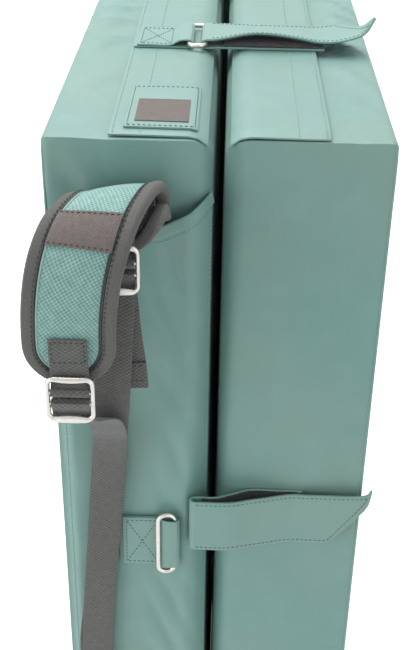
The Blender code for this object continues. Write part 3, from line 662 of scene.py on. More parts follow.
def block(low, high):
    bm = bmesh.new()
    bmesh.ops.create_cube(bm, size=1)
    bmesh.ops.scale(bm, vec=high - low, verts=bm.verts)
    bmesh.ops.translate(bm, vec=(low + high) / 2, verts=bm.verts)
    return bm


def round_edges(bm, edges, offset, segments):
    bmesh.ops.bevel(
        bm, geom=edges, offset=offset, segments=segments, profile=0.5, affect="EDGES", material=-1
    )


def divide(bm, axis, start, end, cell):
    """Cuts the mesh across an axis into even cells."""
    normal = Vector((0, 0, 0))
    normal[axis] = 1
    count = max(1, round((end - start) / cell))
    for step in range(1, count):
        place = normal * (start + (end - start) * step / count)
        bmesh.ops.bisect_plane(bm, geom=geometry(bm), plane_co=place, plane_no=normal)


def cut_strip(length, width, thick, cell, rows, selvage):
    """A flat strip: X along it from 0 to its length, Y across it, Z through it, with rounded long edges."""
    bm = block(Vector((0, -width / 2, -thick / 2)), Vector((length, width / 2, thick / 2)))
    edges = [edge for edge in bm.edges if abs(edge.verts[0].co.x - edge.verts[1].co.x) > length / 2]
    round_edges(bm, edges, min(selvage, thick * 0.45), 3)
    divide(bm, 0, 0, length, cell)
    divide(bm, 1, -width / 2, width / 2, width / rows)
    return bm


def flat_uv(bm, across=1):
    """Keeps the flat place of every corner as its UV, in metres."""
    layer = bm.loops.layers.uv.new("flat")
    for face in bm.faces:
        for loop in face.loops:
            loop[layer].uv = (loop.vert.co.x, loop.vert.co.y * across)


def trim(bm, first, second, keep):
    """Cuts a flat strip along a line through two flat points and keeps the side that a third is on."""
    start, along = Vector((*first, 0)), Vector((*second, 0)) - Vector((*first, 0))
    normal = along.cross(Vector((0, 0, 1)))
    if (Vector((*keep, 0)) - start).dot(normal) > 0:
        normal.negate()
    cut = bmesh.ops.bisect_plane(bm, geom=geometry(bm), plane_co=start, plane_no=normal, clear_outer=True)
    bmesh.ops.contextual_create(bm, geom=only(bmesh.types.BMEdge, cut["geom_cut"]))


def lay(bm, place):
    for vert in bm.verts:
        vert.co = place(*vert.co)[0]


def strip(
    name,
    size,
    place,
    finish,
    body,
    nodes=(),
    cell=0.004,
    rows=2,
    selvage=0.0005,
    shift=(0, 0, 0),
    cut=None,
    across=1,
    sharp=42,
):
    """A flat strip, laid where place puts it. size is its length, width and thickness."""
    bm = cut_strip(*size, cell, rows, selvage)
    if cut:
        trim(bm, *cut)
    bmesh.ops.translate(bm, vec=shift, verts=bm.verts)
    flat_uv(bm, across)
    lay(bm, place)
    return piece(name, bm, finish, body, nodes, sharp)


def band(name, route, width, thick, finish, body, nodes=(), span=None, **grid):
    """A strip laid along a route, or along a span of it between two distances."""
    start, end = span or (0, route.length)
    size = end - start, width, thick
    return strip(name, size, route.place, finish, body, nodes, shift=(start, 0, 0), **grid)


def spline(points, steps):
    """A smooth line through a few points, with steps between each two."""
    points = [Vector(point) for point in points]
    ends = [points[0] * 2 - points[1], *points, points[-1] * 2 - points[-2]]
    line = []
    for a, b, c, d in zip(ends, ends[1:], ends[2:], ends[3:]):
        for i in range(steps):
            t = i / steps
            bend = (a * 2 - b * 5 + c * 4 - d) * t**2 + (b * 3 - a - c * 3 + d) * t**3
            line.append((b * 2 + (c - a) * t + bend) / 2)
    return line + [points[-1]]


def arc(centre, radius, start, end, steps):
    """Points on an arc in a plane."""
    angles = [math.radians(start + (end - start) * i / steps) for i in range(steps + 1)]
    return [(centre[0] + radius * math.cos(a), centre[1] + radius * math.sin(a)) for a in angles]


class Route:
    """A line in space that a flat strip is laid along, with a direction across it at every place."""

    def __init__(self, points, across=(1, 0, 0), steps=6):
        across = across if isinstance(across, list) else [across] * len(points)
        self.points = spline(points, steps)
        sides = spline(across, steps)
        self.far = [0]
        for first, second in zip(self.points, self.points[1:]):
            self.far.append(self.far[-1] + (second - first).length)
        self.length = self.far[-1]
        self.frames = []
        last = len(self.points) - 1
        for i, side in enumerate(sides):
            along = (self.points[min(i + 1, last)] - self.points[max(i - 1, 0)]).normalized()
            side = (side - along * along.dot(side)).normalized()
            self.frames.append((side, along.cross(side)))

    def place(self, distance, side=0, out=0):
        """A place at a distance along, to one side and out of the surface, and the way out there."""
        distance = min(max(distance, 0), self.length)
        i = next((i for i, far in enumerate(self.far[1:]) if distance <= far), len(self.far) - 2)
        share = (distance - self.far[i]) / max(self.far[i + 1] - self.far[i], 1e-9)
        across = self.frames[i][0].lerp(self.frames[i + 1][0], share).normalized()
        normal = self.frames[i][1].lerp(self.frames[i + 1][1], share).normalized()
        return self.points[i].lerp(self.points[i + 1], share) + across * side + normal * out, normal


def stitches(name, lines, place, out, finish, body):
    """Rows of stitches along flat lines, out from the cloth's middle, or behind it where out is under 0."""
    bm = bmesh.new()
    for first, second in lines:
        first, second = Vector(first), Vector(second)
        count = max(1, int((second - first).length / (STITCH + STITCH_GAP)))
        for i in range(count):
            start = first.lerp(second, i / count)
            end = first.lerp(second, (i + STITCH / (STITCH + STITCH_GAP)) / count)
            (low, normal), (high, _) = place(*start, out), place(*end, out)
            along = (high - low).normalized()
            across = along.cross(-normal if out < 0 else normal).normalized()
            up = across.cross(along)
            half = (high - low).length / 2
            turn = Matrix((along * half, across * STITCH_WIDE, up * STITCH_WIDE)).transposed().to_4x4()
            matrix = Matrix.Translation((low + high) / 2 + up * STITCH_WIDE * STITCH_SUNK) @ turn
            bmesh.ops.create_icosphere(bm, subdivisions=1, radius=1, matrix=matrix)
    return piece(name, bm, finish, body, sharp=80)


def box_lines(start, end, low, high, crossed=True):
    """Stitch lines round a rectangle on the flat cloth, with a cross in it."""
    corners = ((start, low), (end, low), (end, high), (start, high))
    lines = list(zip(corners, corners[1:] + corners[:1]))
    if crossed:
        lines += [(corners[0], corners[2]), (corners[1], corners[3])]
    return lines


# Covers


def wave_fold(place, direction, length, depth, narrow=2):
    """A row of soft rounded folds. A higher number makes each fold narrower."""
    phase = Vector(place).dot(Vector(direction).normalized()) / length
    phase += noise.noise(Vector(place) * FOLD_WANDER_SCALE) * FOLD_WANDER
    return depth * (math.sin(phase * 2 * math.pi) * 0.5 + 0.5) ** narrow


def near(value, middle, reach):
    """1 at the middle and 0 beyond the reach, with a soft edge."""
    share = max(0, 1 - abs(value - middle) / reach)
    return share * share * (3 - 2 * share)


def half_box(side):
    """The lowest and the highest corner of a half."""
    ends = side * INNER_X, side * OUTER_X
    return Vector((min(ends), 0, 0)), Vector((max(ends), DEPTH, HEIGHT))


def crown_move(side, place):
    """How the crowns of a half's faces move a place on it, and how far in from its edges the place is."""
    low, high = half_box(side)
    middle, half = (low + high) / 2, (high - low) / 2
    share = [(part - centre) / reach for part, centre, reach in zip(place, middle, half)]
    fall = [max(0, 1 - part * part) for part in share]
    crown = OUTER_CROWN if share[0] * side > 0 else INNER_CROWN
    return Vector((share[0] * crown * fall[1] * fall[2], share[1] * END_CROWN * fall[0] * fall[2], 0)), fall


def cover(side, name, nodes):
    """A padded half: crowned faces, round edges at the gap, tight seams and soft folds in its cloth."""
    low, high = half_box(side)
    bm = block(low, high)

    def edges_at(x):
        return [edge for edge in bm.edges if all(abs(vert.co.x - x) < SEAT for vert in edge.verts)]

    rim = [edge for edge in edges_at(side * INNER_X) if max(v.co.z for v in edge.verts) > HEIGHT / 2]
    round_edges(bm, rim, EDGE_ROUND, 7)
    round_edges(bm, edges_at(side * OUTER_X), SEAM_ROUND, 3)
    for axis in range(3):
        divide(bm, axis, low[axis], high[axis], COVER_CELL)
    bmesh.ops.recalc_face_normals(bm, faces=bm.faces)
    bm.normal_update()
    moves = []
    for vert in bm.verts:
        at = vert.co
        move, fall = crown_move(side, at)
        top, outer, front = (max(0, part) for part in (vert.normal.z, vert.normal.x * side, -vert.normal.y))
        beside = near(abs(at.x), 0.103, reach=0.026) * top * near(at.y, 0.33, reach=0.42)
        move.z += beside * wave_fold(at, (0.75 * side, 1, 0), length=0.050, depth=0.0072, narrow=4)
        if side < 0:
            bulge = near(at.z, HEIGHT, reach=0.045) * near(at.y, 0, reach=0.030)
            move.y -= FRONT_BULGE * bulge * fall[0] ** 0.3
        outer *= min(1, fall[1] * fall[2] * 3)
        move.x -= side * outer * wave_fold(at, (0, 1, 0.6), length=0.23, depth=0.0030)
        inner = front * fall[0] * fall[2]
        move.y += inner * wave_fold(at, (1, 0, 0.15 * side), length=0.075, depth=0.0012)
        slant = near(at.z, HEIGHT - 0.03, reach=0.045) * near(abs(at.x), 0.080, reach=0.060) * front
        move.y -= slant * wave_fold(at, (1, 0, -0.6 * side), length=0.034, depth=0.0042, narrow=3)
        moves.append(move)
    for vert, move in zip(bm.verts, moves):
        vert.co += move
    body = "left_half" if side < 0 else "right_half"
    piece(name, bm, "cover", body, nodes, sharp=60)


def welt(name, route, width, cell, body):
    """A fine rolled seam of the cover's cloth."""
    band(name, route, width, width, "cover", body, cell=cell, selvage=width * 0.4, sharp=60)


def seam_welt(side, prefix):
    """The rolled seam that runs up the front's outer edge and across its top to the gap."""
    inset = SEAM_ROUND * 0.30
    outer, top = OUTER_X - inset, HEIGHT - inset
    line = [(side * outer, inset, 0.004 + (top - 0.012) * i / 24) for i in range(25)]
    line += [(side * (outer - 0.0016), inset, top - 0.0010)]
    ends = outer - 0.008, INNER_X + EDGE_ROUND
    line += [(side * (ends[0] + (ends[1] - ends[0]) * i / 8), inset, top) for i in range(9)]
    points = [Vector(place) + crown_move(side, place)[0] for place in line]
    welt(prefix + "_seam_welt", Route(points, Vector((0, 1, -0.2)), 2), WELT, 0.006, prefix + "_half")


def foot_welt(side, prefix):
    """The rolled seam along the foot of a half's inner face, which meets the other half's at the floor."""
    inset = FOOT_WELT / 2
    length = DEPTH + FOOT_WELT_PAST - FOOT_WELT_START
    line = [(side * (INNER_X - inset), FOOT_WELT_START + length * i / 8, inset) for i in range(9)]
    welt(prefix + "_foot_welt", Route(line, steps=2), FOOT_WELT, 0.012, prefix + "_half")


def covers():
    for side, prefix in ((-1, "left"), (1, "right")):
        nodes = [prefix + part for part in ("_cover", "_landing_foam", "_core_foam", "_base_foam")]
        cover(side, prefix + "_padded_cover", nodes)
        seam_welt(side, prefix)
        foot_welt(side, prefix)


# Tops


class TopCloth:
    """Places on a half's top cloth: u along Y from its front end, v across from the edge near the gap."""

    def __init__(self, side, near_x, start, level):
        self.side, self.near_x, self.start, self.level = side, near_x, start, level

    def place(self, u, v, out=0):
        x = self.side * (self.near_x + v)
        y = self.start + u
        tuck = FLAP_TUCK * max(0, 1 - y / FLAP_TUCK_FROM) ** 2
        ripple = FLAP_RIPPLE * noise.noise(Vector((x * 22, y * 9, 0)))
        reach = max(0, INNER_X + EDGE_ROUND - abs(x))
        drop = EDGE_ROUND - math.sqrt(EDGE_ROUND**2 - reach**2)
        bend = drop * 0.9 + tuck
        return Vector((x, y, HEIGHT + self.level + out - bend + ripple)), Vector((0, 0, 1))


def top_panel(name, cloth, size, finish, body, node, cell=0.006, rows=10):
    return strip(name, size, cloth.place, finish, body, [node], cell, rows, shift=(0, size[1] / 2, 0))


def access_flap(side, prefix):
    body = prefix + "_half"
    start = FLAP_END - FLAP_REACH
    length, width = DEPTH - FLAP_END - start, FLAP_FAR - FLAP_NEAR
    cloth = TopCloth(side, FLAP_NEAR, start, FLAP_LOW + FLAP_THICK / 2)
    size = length, width, FLAP_THICK
    flap = top_panel(prefix + "_flap_cloth", cloth, size, "cover", body, prefix + "_access_flap")
    edges = width - STITCH_EDGE, width - TAPE_WIDTH
    rows = [((0.002, edge), (length - 0.004, edge)) for edge in edges]
    stitches(prefix + "_flap_stitches", rows, cloth.place, FLAP_THICK / 2, "pale_thread", body)
    size = DEPTH - FLAP_END * 2 - TAPE_MARGIN * 2, TAPE_WIDTH, TAPE_THICK
    for name, low in (("_hook_tape", SEAT), ("_loop_tape", SEAT * 2 + TAPE_THICK)):
        tape = TopCloth(side, TAPE_FAR - TAPE_WIDTH, FLAP_END + TAPE_MARGIN, low + TAPE_THICK / 2)
        top_panel(prefix + name + "_strip", tape, size, "pile", body, prefix + name, 0.012, 3)


def label():
    """The sewn label near the front of the left flap, left bare, with its plain woven panel."""
    level = FLAP_LOW + FLAP_THICK + SEAT + FABRIC / 2
    cloth = TopCloth(-1, LABEL_NEAR, LABEL_START, level)
    size = LABEL_LENGTH, LABEL_WIDTH, FABRIC
    patch = top_panel("label_cloth", cloth, size, "strap", "left_half", "label_patch", 0.004)
    rows = box_lines(LABEL_EDGE, LABEL_LENGTH - LABEL_EDGE, LABEL_EDGE, LABEL_WIDTH - LABEL_EDGE, False)
    stitches("label_stitches", rows, cloth.place, FABRIC / 2, "thread", "left_half")
    near_x = LABEL_NEAR + (LABEL_WIDTH - PRINT_WIDTH) / 2
    panel = TopCloth(-1, near_x, LABEL_START + PRINT_START, level + FABRIC / 2 + PRINT_RISE)
    size = PRINT_LENGTH, PRINT_WIDTH, PRINT_THICK
    top_panel("label_woven_panel", panel, size, "brown", "left_half", "label_panel", 0.004)


# Pocket


def pocket_line():
    """The pocket panel's line seen from above, from its left seam round to the gap side."""
    seam_y = -(SEAT + FABRIC / 2)
    flat_y = seam_y - POCKET_DEPTH
    left = OUTER_X - SEAT
    line = []
    for step in range(9):
        share = step / 8
        rise = (1 - math.cos(math.pi * share)) / 2
        line.append((-left + POCKET_RAMP * share, seam_y + (flat_y - seam_y) * rise))
    start = -left + POCKET_RAMP
    end = -INNER_X - EDGE_ROUND
    line += [(start + (end - start) * step / 10, flat_y) for step in range(1, 10)]
    radius = EDGE_ROUND + SEAT * 2 + FABRIC / 2 + INNER_CROWN / 2
    for step in range(9):
        share = step / 8
        angle = math.radians(POCKET_TURN * share)
        lift = (POCKET_DEPTH - SEAT) * (1 + math.cos(math.pi * share)) / 2
        line.append((end + radius * math.sin(angle), EDGE_ROUND - radius * math.cos(angle) - lift))
    return line


def mouth_height(x):
    """The height of the pocket's edge, which sweeps up towards the gap."""
    share = max(0, 1 - (-INNER_X - x) / MOUTH_BEND)
    return HEIGHT - MOUTH_DROP + MOUTH_RISE * min(1, share) ** MOUTH_POWER


class PocketCloth:
    """Places on the pocket panel: u along its line seen from above, v as a share of its height."""

    def __init__(self):
        self.route = Route([(x, y, 0) for x, y in pocket_line()], (0, 0, 1), 3)

    def place(self, u, v, out=0):
        point, normal = self.route.place(u)
        top = mouth_height(point.x)
        z = POCKET_FOOT + (top - POCKET_FOOT) * v
        seam_y = -(SEAT + FABRIC / 2)
        rise = math.sin(min(1, v / 0.02) * math.pi / 2)
        if point.y < seam_y:
            point.y = seam_y + (point.y - seam_y) * rise
        free = near(point.x, -0.034, reach=0.034)
        clear = 1 - max(near(z, middle - LOOSE_TAB_DROP, reach=0.075) for middle in FRONT_PLACES)
        ends = min(1, (1 - v) / 0.04) * min(1, v / 0.06)
        at = point.x, 0, z
        slack = free * clear * ends * wave_fold(at, (1, 0, 0.42), length=0.021, depth=POCKET_FOLD)
        edge = near(point.x, -0.115, reach=0.012)
        slack += ends * edge * wave_fold(at, (0.2, 0, 1), length=0.11, depth=0.0012)
        point.y += slack if normal.y < 0 else 0
        return Vector((point.x, point.y, z)) + normal * out, normal

    def height(self, u):
        return mouth_height(self.route.place(u)[0].x) - POCKET_FOOT


def pocket():
    cloth = PocketCloth()
    length = cloth.route.length
    bm = bmesh.new()
    bmesh.ops.create_grid(bm, x_segments=POCKET_CELLS[0], y_segments=POCKET_CELLS[1], size=0.5)
    bmesh.ops.translate(bm, vec=(0.5, 0.5, 0), verts=bm.verts)
    flat_uv(bm)
    for vert in bm.verts:
        vert.co = cloth.place(vert.co.x * length, vert.co.y)[0]
    bmesh.ops.recalc_face_normals(bm, faces=bm.faces)
    bmesh.ops.solidify(bm, geom=bm.faces[:], thickness=FABRIC)
    panel = piece("pocket_cloth", bm, "cover", "left_half", ["side_pocket"], sharp=60)
    area = sum(cloth.height(length * (i + 0.5) / 40) for i in range(40)) / 40 * length
    edge = [HEM_START + (length - HEM_START) * i / 40 for i in range(41)]
    points = [cloth.place(u, 1 - HEM_DROP / cloth.height(u), HEM_OUT)[0] for u in edge]
    sides = [cloth.place(u, 1)[0] - cloth.place(u, 1 - 0.01)[0] for u in edge]
    hem, nodes, grid = Route(points, sides, 2), ["pocket_hem"], {"rows": 3, "selvage": 0.0009}
    band("pocket_rolled_hem", hem, HEM_WIDTH, HEM_THICK, "cover", "left_half", nodes, **grid)
    tall = HEIGHT - MOUTH_DROP

    def place(u, v, out):
        """A place by its height above the foot, or below the mouth where it is under 0."""
        return cloth.place(u, v / tall if v > 0 else 1 + v / cloth.height(u), out)

    rows = [((u, -HEM_STITCH_DROP), (v, -HEM_STITCH_DROP)) for u, v in zip(edge[2:], edge[3:])]
    left, right = 0.0095, length - 0.003
    rows += [((left, 0.010), (left, tall - 0.010)), ((right, 0.010), (right, tall - 0.02))]
    stitches("pocket_stitches", rows, place, HEM_OUT, "pale_thread", "left_half")


# Closures


class Surface:
    """Places on the front or the top: across the gap, out of the surface, and along the edge."""

    def __init__(self, prefix, middle, on_top, levels):
        self.prefix, self.middle, self.on_top = prefix, middle, on_top
        self.left, self.right = levels

    def place(self, across, out, along=0):
        if self.on_top:
            return Vector((across, self.middle + along, HEIGHT + out))
        return Vector((across, -out, self.middle + along))

    def route(self, line, along=0):
        """A route through places given across and out, seen along the edge."""
        direction = (0, 1, 0) if self.on_top else (0, 0, 1)
        return Route([self.place(across, out, along) for across, out in line], direction, 5)


def wire_loop(wide, deep, half_short, half_long, corner):
    """A closed wire frame in the plane of X and Z: pulled along its sides and spun round its corners."""
    bm = bmesh.new()
    bmesh.ops.create_circle(bm, segments=16, radius=1)
    bmesh.ops.scale(bm, vec=(wide / 2, deep / 2, 1), verts=bm.verts)
    bmesh.ops.translate(bm, vec=(half_short, 0, corner - half_long), verts=bm.verts)
    loop = bm.edges[:]
    x, z = half_short - corner, half_long - corner
    centres = (x, z), (-x, z), (-x, -z), (x, -z)
    runs = (0, 2 * z), (-2 * x, 0), (0, -2 * z), (2 * x, 0)
    for (side, up), centre in zip(runs, centres):
        pulled = bmesh.ops.extrude_edge_only(bm, edges=loop)["geom"]
        bmesh.ops.translate(bm, vec=(side, 0, up), verts=only(bmesh.types.BMVert, pulled))
        spun = bmesh.ops.spin(
            bm,
            geom=only(bmesh.types.BMEdge, pulled),
            cent=(centre[0], 0, centre[1]),
            axis=(0, -1, 0),
            angle=math.radians(90),
            steps=6,
        )
        loop = only(bmesh.types.BMEdge, spun["geom_last"])
    bmesh.ops.remove_doubles(bm, verts=bm.verts, dist=MERGE_AT)
    return bm


def ring(surface, bar_at, bar_out, tilt, drop):
    """A rounded rectangle of wire, with one long bar at bar_at and the rest turned by tilt about it."""
    short = (RING_SHORT - RING_WIRE) / 2
    bm = wire_loop(RING_WIRE, RING_WIRE, short, (RING_LONG - RING_WIRE) / 2, RING_CORNER)
    sine, cosine = math.sin(math.radians(tilt)), math.cos(math.radians(tilt))
    for vert in bm.verts:
        side, lift, along = vert.co.x + short, vert.co.y, vert.co.z
        across, out = bar_at + side * cosine - lift * sine, bar_out + side * sine + lift * cosine
        vert.co = surface.place(across, out, along + drop)
    name = surface.prefix + "_wire_ring"
    piece(name, bm, "metal", surface.prefix + "_ring_body", [surface.prefix + "_ring"], 70)


def tab(surface, bar_at, drop):
    """A sewn tab folded round a ring's bar. Gives how far out the bar's middle is."""
    turn = RING_WIRE / 2 + BAR_SLACK + TAB_THICK / 2
    low = surface.left + TAB_THICK / 2
    high = low + TAB_THICK + TAB_LAYER_GAP
    bar_out = low + turn
    far, rise = -bar_at - TAB_LENGTH, -bar_at - TAB_RISE
    line = [(far, low), ((far - bar_at) / 2, low), (rise, low), (-bar_at - TAB_RISE / 2, low)]
    line += arc((-bar_at, bar_out), turn, -90, 90, 8)
    line += [(rise, bar_out + turn * 0.72), (rise - TAB_RISE, high)]
    line += [(far * 0.75 - bar_at * 0.25, high), (far + TAB_THICK * 2, high)]
    route = surface.route(line, drop)
    name = surface.prefix + "_tab"
    band(name + "_cloth", route, STRAP_WIDTH, TAB_THICK, "strap", "left_half", [name], cell=0.003, rows=8)
    end = route.length - 0.003
    half = STRAP_WIDTH / 2 - STITCH_EDGE
    rows = box_lines(end - (TAB_LENGTH - TAB_RISE * 2 - 0.004), end, -half, half)
    stitches(name + "_stitches", rows, route.place, -TAB_THICK / 2, "thread", "left_half")
    return bar_out


def loose_closure(surface, drop):
    """A closing strap folded on itself, out of its ring, with the ring turned back on its tab."""
    bar_out = tab(surface, BAR_AT, drop)
    left_bar_out = surface.left + TAB_THICK * 2 + SEAT * 3 + RING_WIRE / 2
    tilt = math.degrees(math.asin((left_bar_out - bar_out) / (RING_SHORT - RING_WIRE)))
    ring(surface, -BAR_AT, bar_out, 180 - tilt, drop)
    sewn = surface.right + STRAP_THICK / 2
    over = max(surface.left, surface.right) + STRAP_LIFT + STRAP_THICK / 2
    fold, back = over + FOLD_ROUND, over + FOLD_ROUND * 2
    flat = STRAP_SEWN_END, (STRAP_SEWN_END + STRAP_SEWN_START) / 2, STRAP_SEWN_START
    line = [(across, sewn) for across in flat]
    line += [((INNER_X + STRAP_SEWN_START) / 2, (sewn + over) / 2), (INNER_X, over)]
    line += [(-STRAP_FOLD_AT / 2, over), *arc((-STRAP_FOLD_AT + FOLD_ROUND, fold), FOLD_ROUND, 270, 90, 10)]
    start = -STRAP_FOLD_AT + FOLD_ROUND + FOLD_MEET
    line += [(start, back)]
    settled = settled_level(sewn)
    free = [(start + SEAM_GAP, back)]
    near_fold = INNER_X + 0.010
    for share in (0, 0.33, 0.66, 1):
        free.append((near_fold + (STRAP_SETTLED_AT - near_fold) * share, back + (settled - back) * share))
    free += [(STRAP_SETTLED_AT + STRAP_SETTLED_RUN, settled), (CUT_START, settled)]
    if surface.on_top:
        free += [(OUTER_X - 0.010, settled), (OUTER_X + TIP_PAST / 2, settled + 0.0015)]
    else:
        free += [(OUTER_X - 0.005, settled), (OUTER_X + TIP_PAST * 0.55, settled - TIP_DROP * 0.30)]
        free += [(OUTER_X + TIP_PAST, settled - TIP_DROP)]
    strap(surface, line, free, settled)


def settled_level(sewn):
    """How far out a strap's free end lies on its sewn length, with the pile between them."""
    return sewn + STRAP_THICK + LINING_THICK * 2 + SEAT * 4


def threaded_closure(surface):
    """A closing strap run through its ring and folded back on itself, with its tip lifting."""
    bar_out = tab(surface, THREADED_BAR_AT, 0)
    ring(surface, -THREADED_BAR_AT, bar_out, 0, 0)
    turn = RING_WIRE / 2 + BAR_SLACK + STRAP_THICK / 2
    bar_x = -THREADED_BAR_AT + RING_SHORT - RING_WIRE
    sewn = surface.right + STRAP_THICK / 2
    line = [(across, sewn) for across in (STRAP_SEWN_END + STRAP_SEWN_PAST, 0.040, -INNER_X)]
    line += [(bar_x + turn, bar_out - turn), *arc((bar_x, bar_out), turn, 270, 90, 8)]
    settled = settled_level(sewn)
    line += [(bar_x + turn, bar_out + turn), (0.010, settled + 0.0006), (WRAP_END, settled)]
    free = [(across, settled) for across in (WRAP_END + SEAM_GAP, 0.060, CUT_START - 0.010)]
    free += [(OUTER_X - 0.010, settled + TOP_TIP_RISE / 3), (OUTER_X, settled + TOP_TIP_RISE)]
    strap(surface, line, free, settled, True)


def rolled(route, peak, depth):
    """Lifts one edge of a layer where it lies over the other, as cloth that isn't pressed down does."""

    def place(u, v, out=0):
        point, normal = route.place(u, v, out)
        along = near(u, peak, MOUTH_NEAR if u < peak else MOUTH_FAR)
        return point + normal * depth * along * max(0, 0.5 - v / STRAP_WIDTH) ** 2, normal

    return place


def pile_strip(name, ends, place, body, nodes=()):
    """A strip of pile on the back of a strap, between two distances along it."""
    size = ends[1] - ends[0], STRAP_WIDTH - PILE_INSET * 2, LINING_THICK
    shift = ends[0], 0, -(STRAP_THICK + LINING_THICK) / 2
    return strip(name, size, place, "pile", body, nodes, rows=8, selvage=0.0004, shift=shift)


def strap(surface, line, free, settled, threaded=False):
    """The sewn length of a closing strap, its free end with a slanting tip, and the pile between them."""
    prefix = surface.prefix
    body = prefix + "_strap_end_body"
    rides = None if threaded else body
    half, out = STRAP_WIDTH / 2, STRAP_THICK / 2
    base, route = surface.route(line), surface.route(free)
    depth = MOUTH_LIFT if threaded else 0
    base_place, free_place = rolled(base, base.length, depth), rolled(route, 0, depth)
    grid = {"cell": 0.003, "rows": 8}
    size, nodes = (base.length, STRAP_WIDTH, STRAP_THICK), [prefix + "_strap_base"]
    strip(prefix + "_strap_sewn", size, base_place, "strap", "right_half", nodes, **grid)
    side = 1 if threaded else -1
    end = route.length
    rise = end - (OUTER_X + TIP_PAST - CUT_START) * CUT_SHARE
    cut = (rise, side * half), (end, -side * half * TIP_SHARE), (0, 0)
    size, nodes = (end, STRAP_WIDTH, STRAP_THICK), [prefix + "_strap_end"]
    ends = [strip(prefix + "_strap_free", size, free_place, "strap", rides, nodes, cut=cut, **grid)]
    low, high = -side * (half - STITCH_EDGE), side * (half - STITCH_EDGE)
    start, turn_at, tip = 0.001, rise - 0.001, (end - 0.007, low)
    rows = [((start, low), tip), ((start, high), (turn_at, high)), ((turn_at, high), tip)]
    ends.append(stitches(prefix + "_strap_stitches", rows, free_place, out, "thread", rides))
    nodes = [prefix + "_strap_lining"]
    ends.append(pile_strip(prefix + "_pile", (start, rise - LINING_EDGE), free_place, rides, nodes))
    sewn = LINING_EDGE, STRAP_SEWN_END + STRAP_SEWN_PAST
    pile_strip(prefix + "_loop_pile", sewn, base_place, "right_half")
    if threaded:
        bend = [own(*surface.place(at, settled)) for at in (WRAP_END, WRAP_END + PEEL_BEND)]
        for made in ends:
            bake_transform(made)
        mouth = base.length - MOUTH_NEAR + LINING_EDGE, base.length
        pile_strip(prefix + "_mouth_pile", mouth, base_place, "right_half")
        rows = [((mouth[0], edge), (mouth[1], edge)) for edge in (low, high)]
        stitches(prefix + "_base_stitches", rows, base_place, out, "thread", "right_half")


def closures():
    for prefix, middle in zip(("front_lower", "front_upper"), FRONT_PLACES):
        loose_closure(Surface(prefix, middle, False, (POCKET_LEVEL, FRONT_LEVEL)), -LOOSE_TAB_DROP)
    threaded_closure(Surface("top_front", TOP_PLACES[0], True, (TOP_LEVEL, TOP_LEVEL)))
    loose_closure(Surface("top_back", TOP_PLACES[1], True, (TOP_LEVEL, TOP_LEVEL)), 0)


# Shoulder straps


class Strap:
    """A shoulder strap's route and names."""

    def __init__(self, prefix, points, root, webbing, lift, tail):
        self.prefix = prefix
        self.body = prefix.replace("_strap", "_shoulder_strap")
        self.buckle = prefix.replace("_strap", "_buckle")
        self.root, self.webbing, self.lift, self.tail = root, webbing, lift, tail
        line = [Vector((x, y, HEIGHT + drop)) for x, y, drop in points]
        self.path = Route(line, Vector((1, 0, LEAN)), 4)
        end = self.path.points[-1] + Vector((0, 0, BUCKLE_LAP))
        self.hang = Vector((end.x, end.y - BUCKLE_FRONT, end.z))
        self.half = PAD_WIDTH / 2
        self.straight = self.path.length - self.half - BINDING

    def reach(self, distance):
        """The pad's half width at a distance along it, with its rounded free end."""
        past = (distance - self.straight) / self.half
        return self.half if past <= 0 else self.half * math.sqrt(max(0.0004, 1 - past * past))


def drawn_in(share):
    """The share of its thickness that a pad keeps from its middle to its seam."""
    return math.sqrt(max(0, 1 - share * share)) * (1 - PAD_SEAM_SHARE) + PAD_SEAM_SHARE


def pad(strap, finish):
    """The padded field: crowned, drawn in along its seam, with a round free end, and the mesh behind it."""

    def swell(x, side, z):
        height = z * drawn_in(side) + (PAD_CROWN * (1 - side * side) if z > 0 else 0)
        height += PAD_UNEVEN * noise.noise(Vector((x * 60, side * 2, z * 20)))
        return strap.path.place(x, side * strap.reach(x), height)

    def behind(x, side, z):
        return strap.path.place(x, side, z - PAD_THICK / 2 * drawn_in(side / strap.half) - BACKING_THICK)

    grid = {"cell": PAD_CELL, "rows": 12, "sharp": 60}
    size, nodes = (strap.straight + strap.half * 0.998, 2, PAD_THICK), [strap.prefix + "_pad"]
    name = strap.prefix + "_padding"
    made = strip(name, size, swell, finish, strap.body, nodes, selvage=0, across=strap.half, **grid)
    size = strap.straight, PAD_WIDTH - 0.001, BACKING_THICK
    strip(strap.prefix + "_backing", size, behind, "mesh", strap.body, selvage=0.0001, **grid)


def rim_route(strap, reach):
    """Round the pad's edge, from its root down one side, round the end and back."""
    points, sides = [], []
    count = 14
    places = [(strap.straight * i / count, -1, 0) for i in range(count)]
    for angle in (math.radians(9 * i) for i in range(21)):
        places.append((strap.straight, -math.cos(angle), math.sin(angle)))
    places += [(strap.straight * i / count, 1, 0) for i in reversed(range(count))]
    reaches = reach, reach + RIM_STEP
    for distance, side, ahead in places:
        here, beyond = (strap.path.place(distance + ahead * far, side * far)[0] for far in reaches)
        points.append(here)
        sides.append((beyond - here).normalized())
    return Route(points, sides, 3)


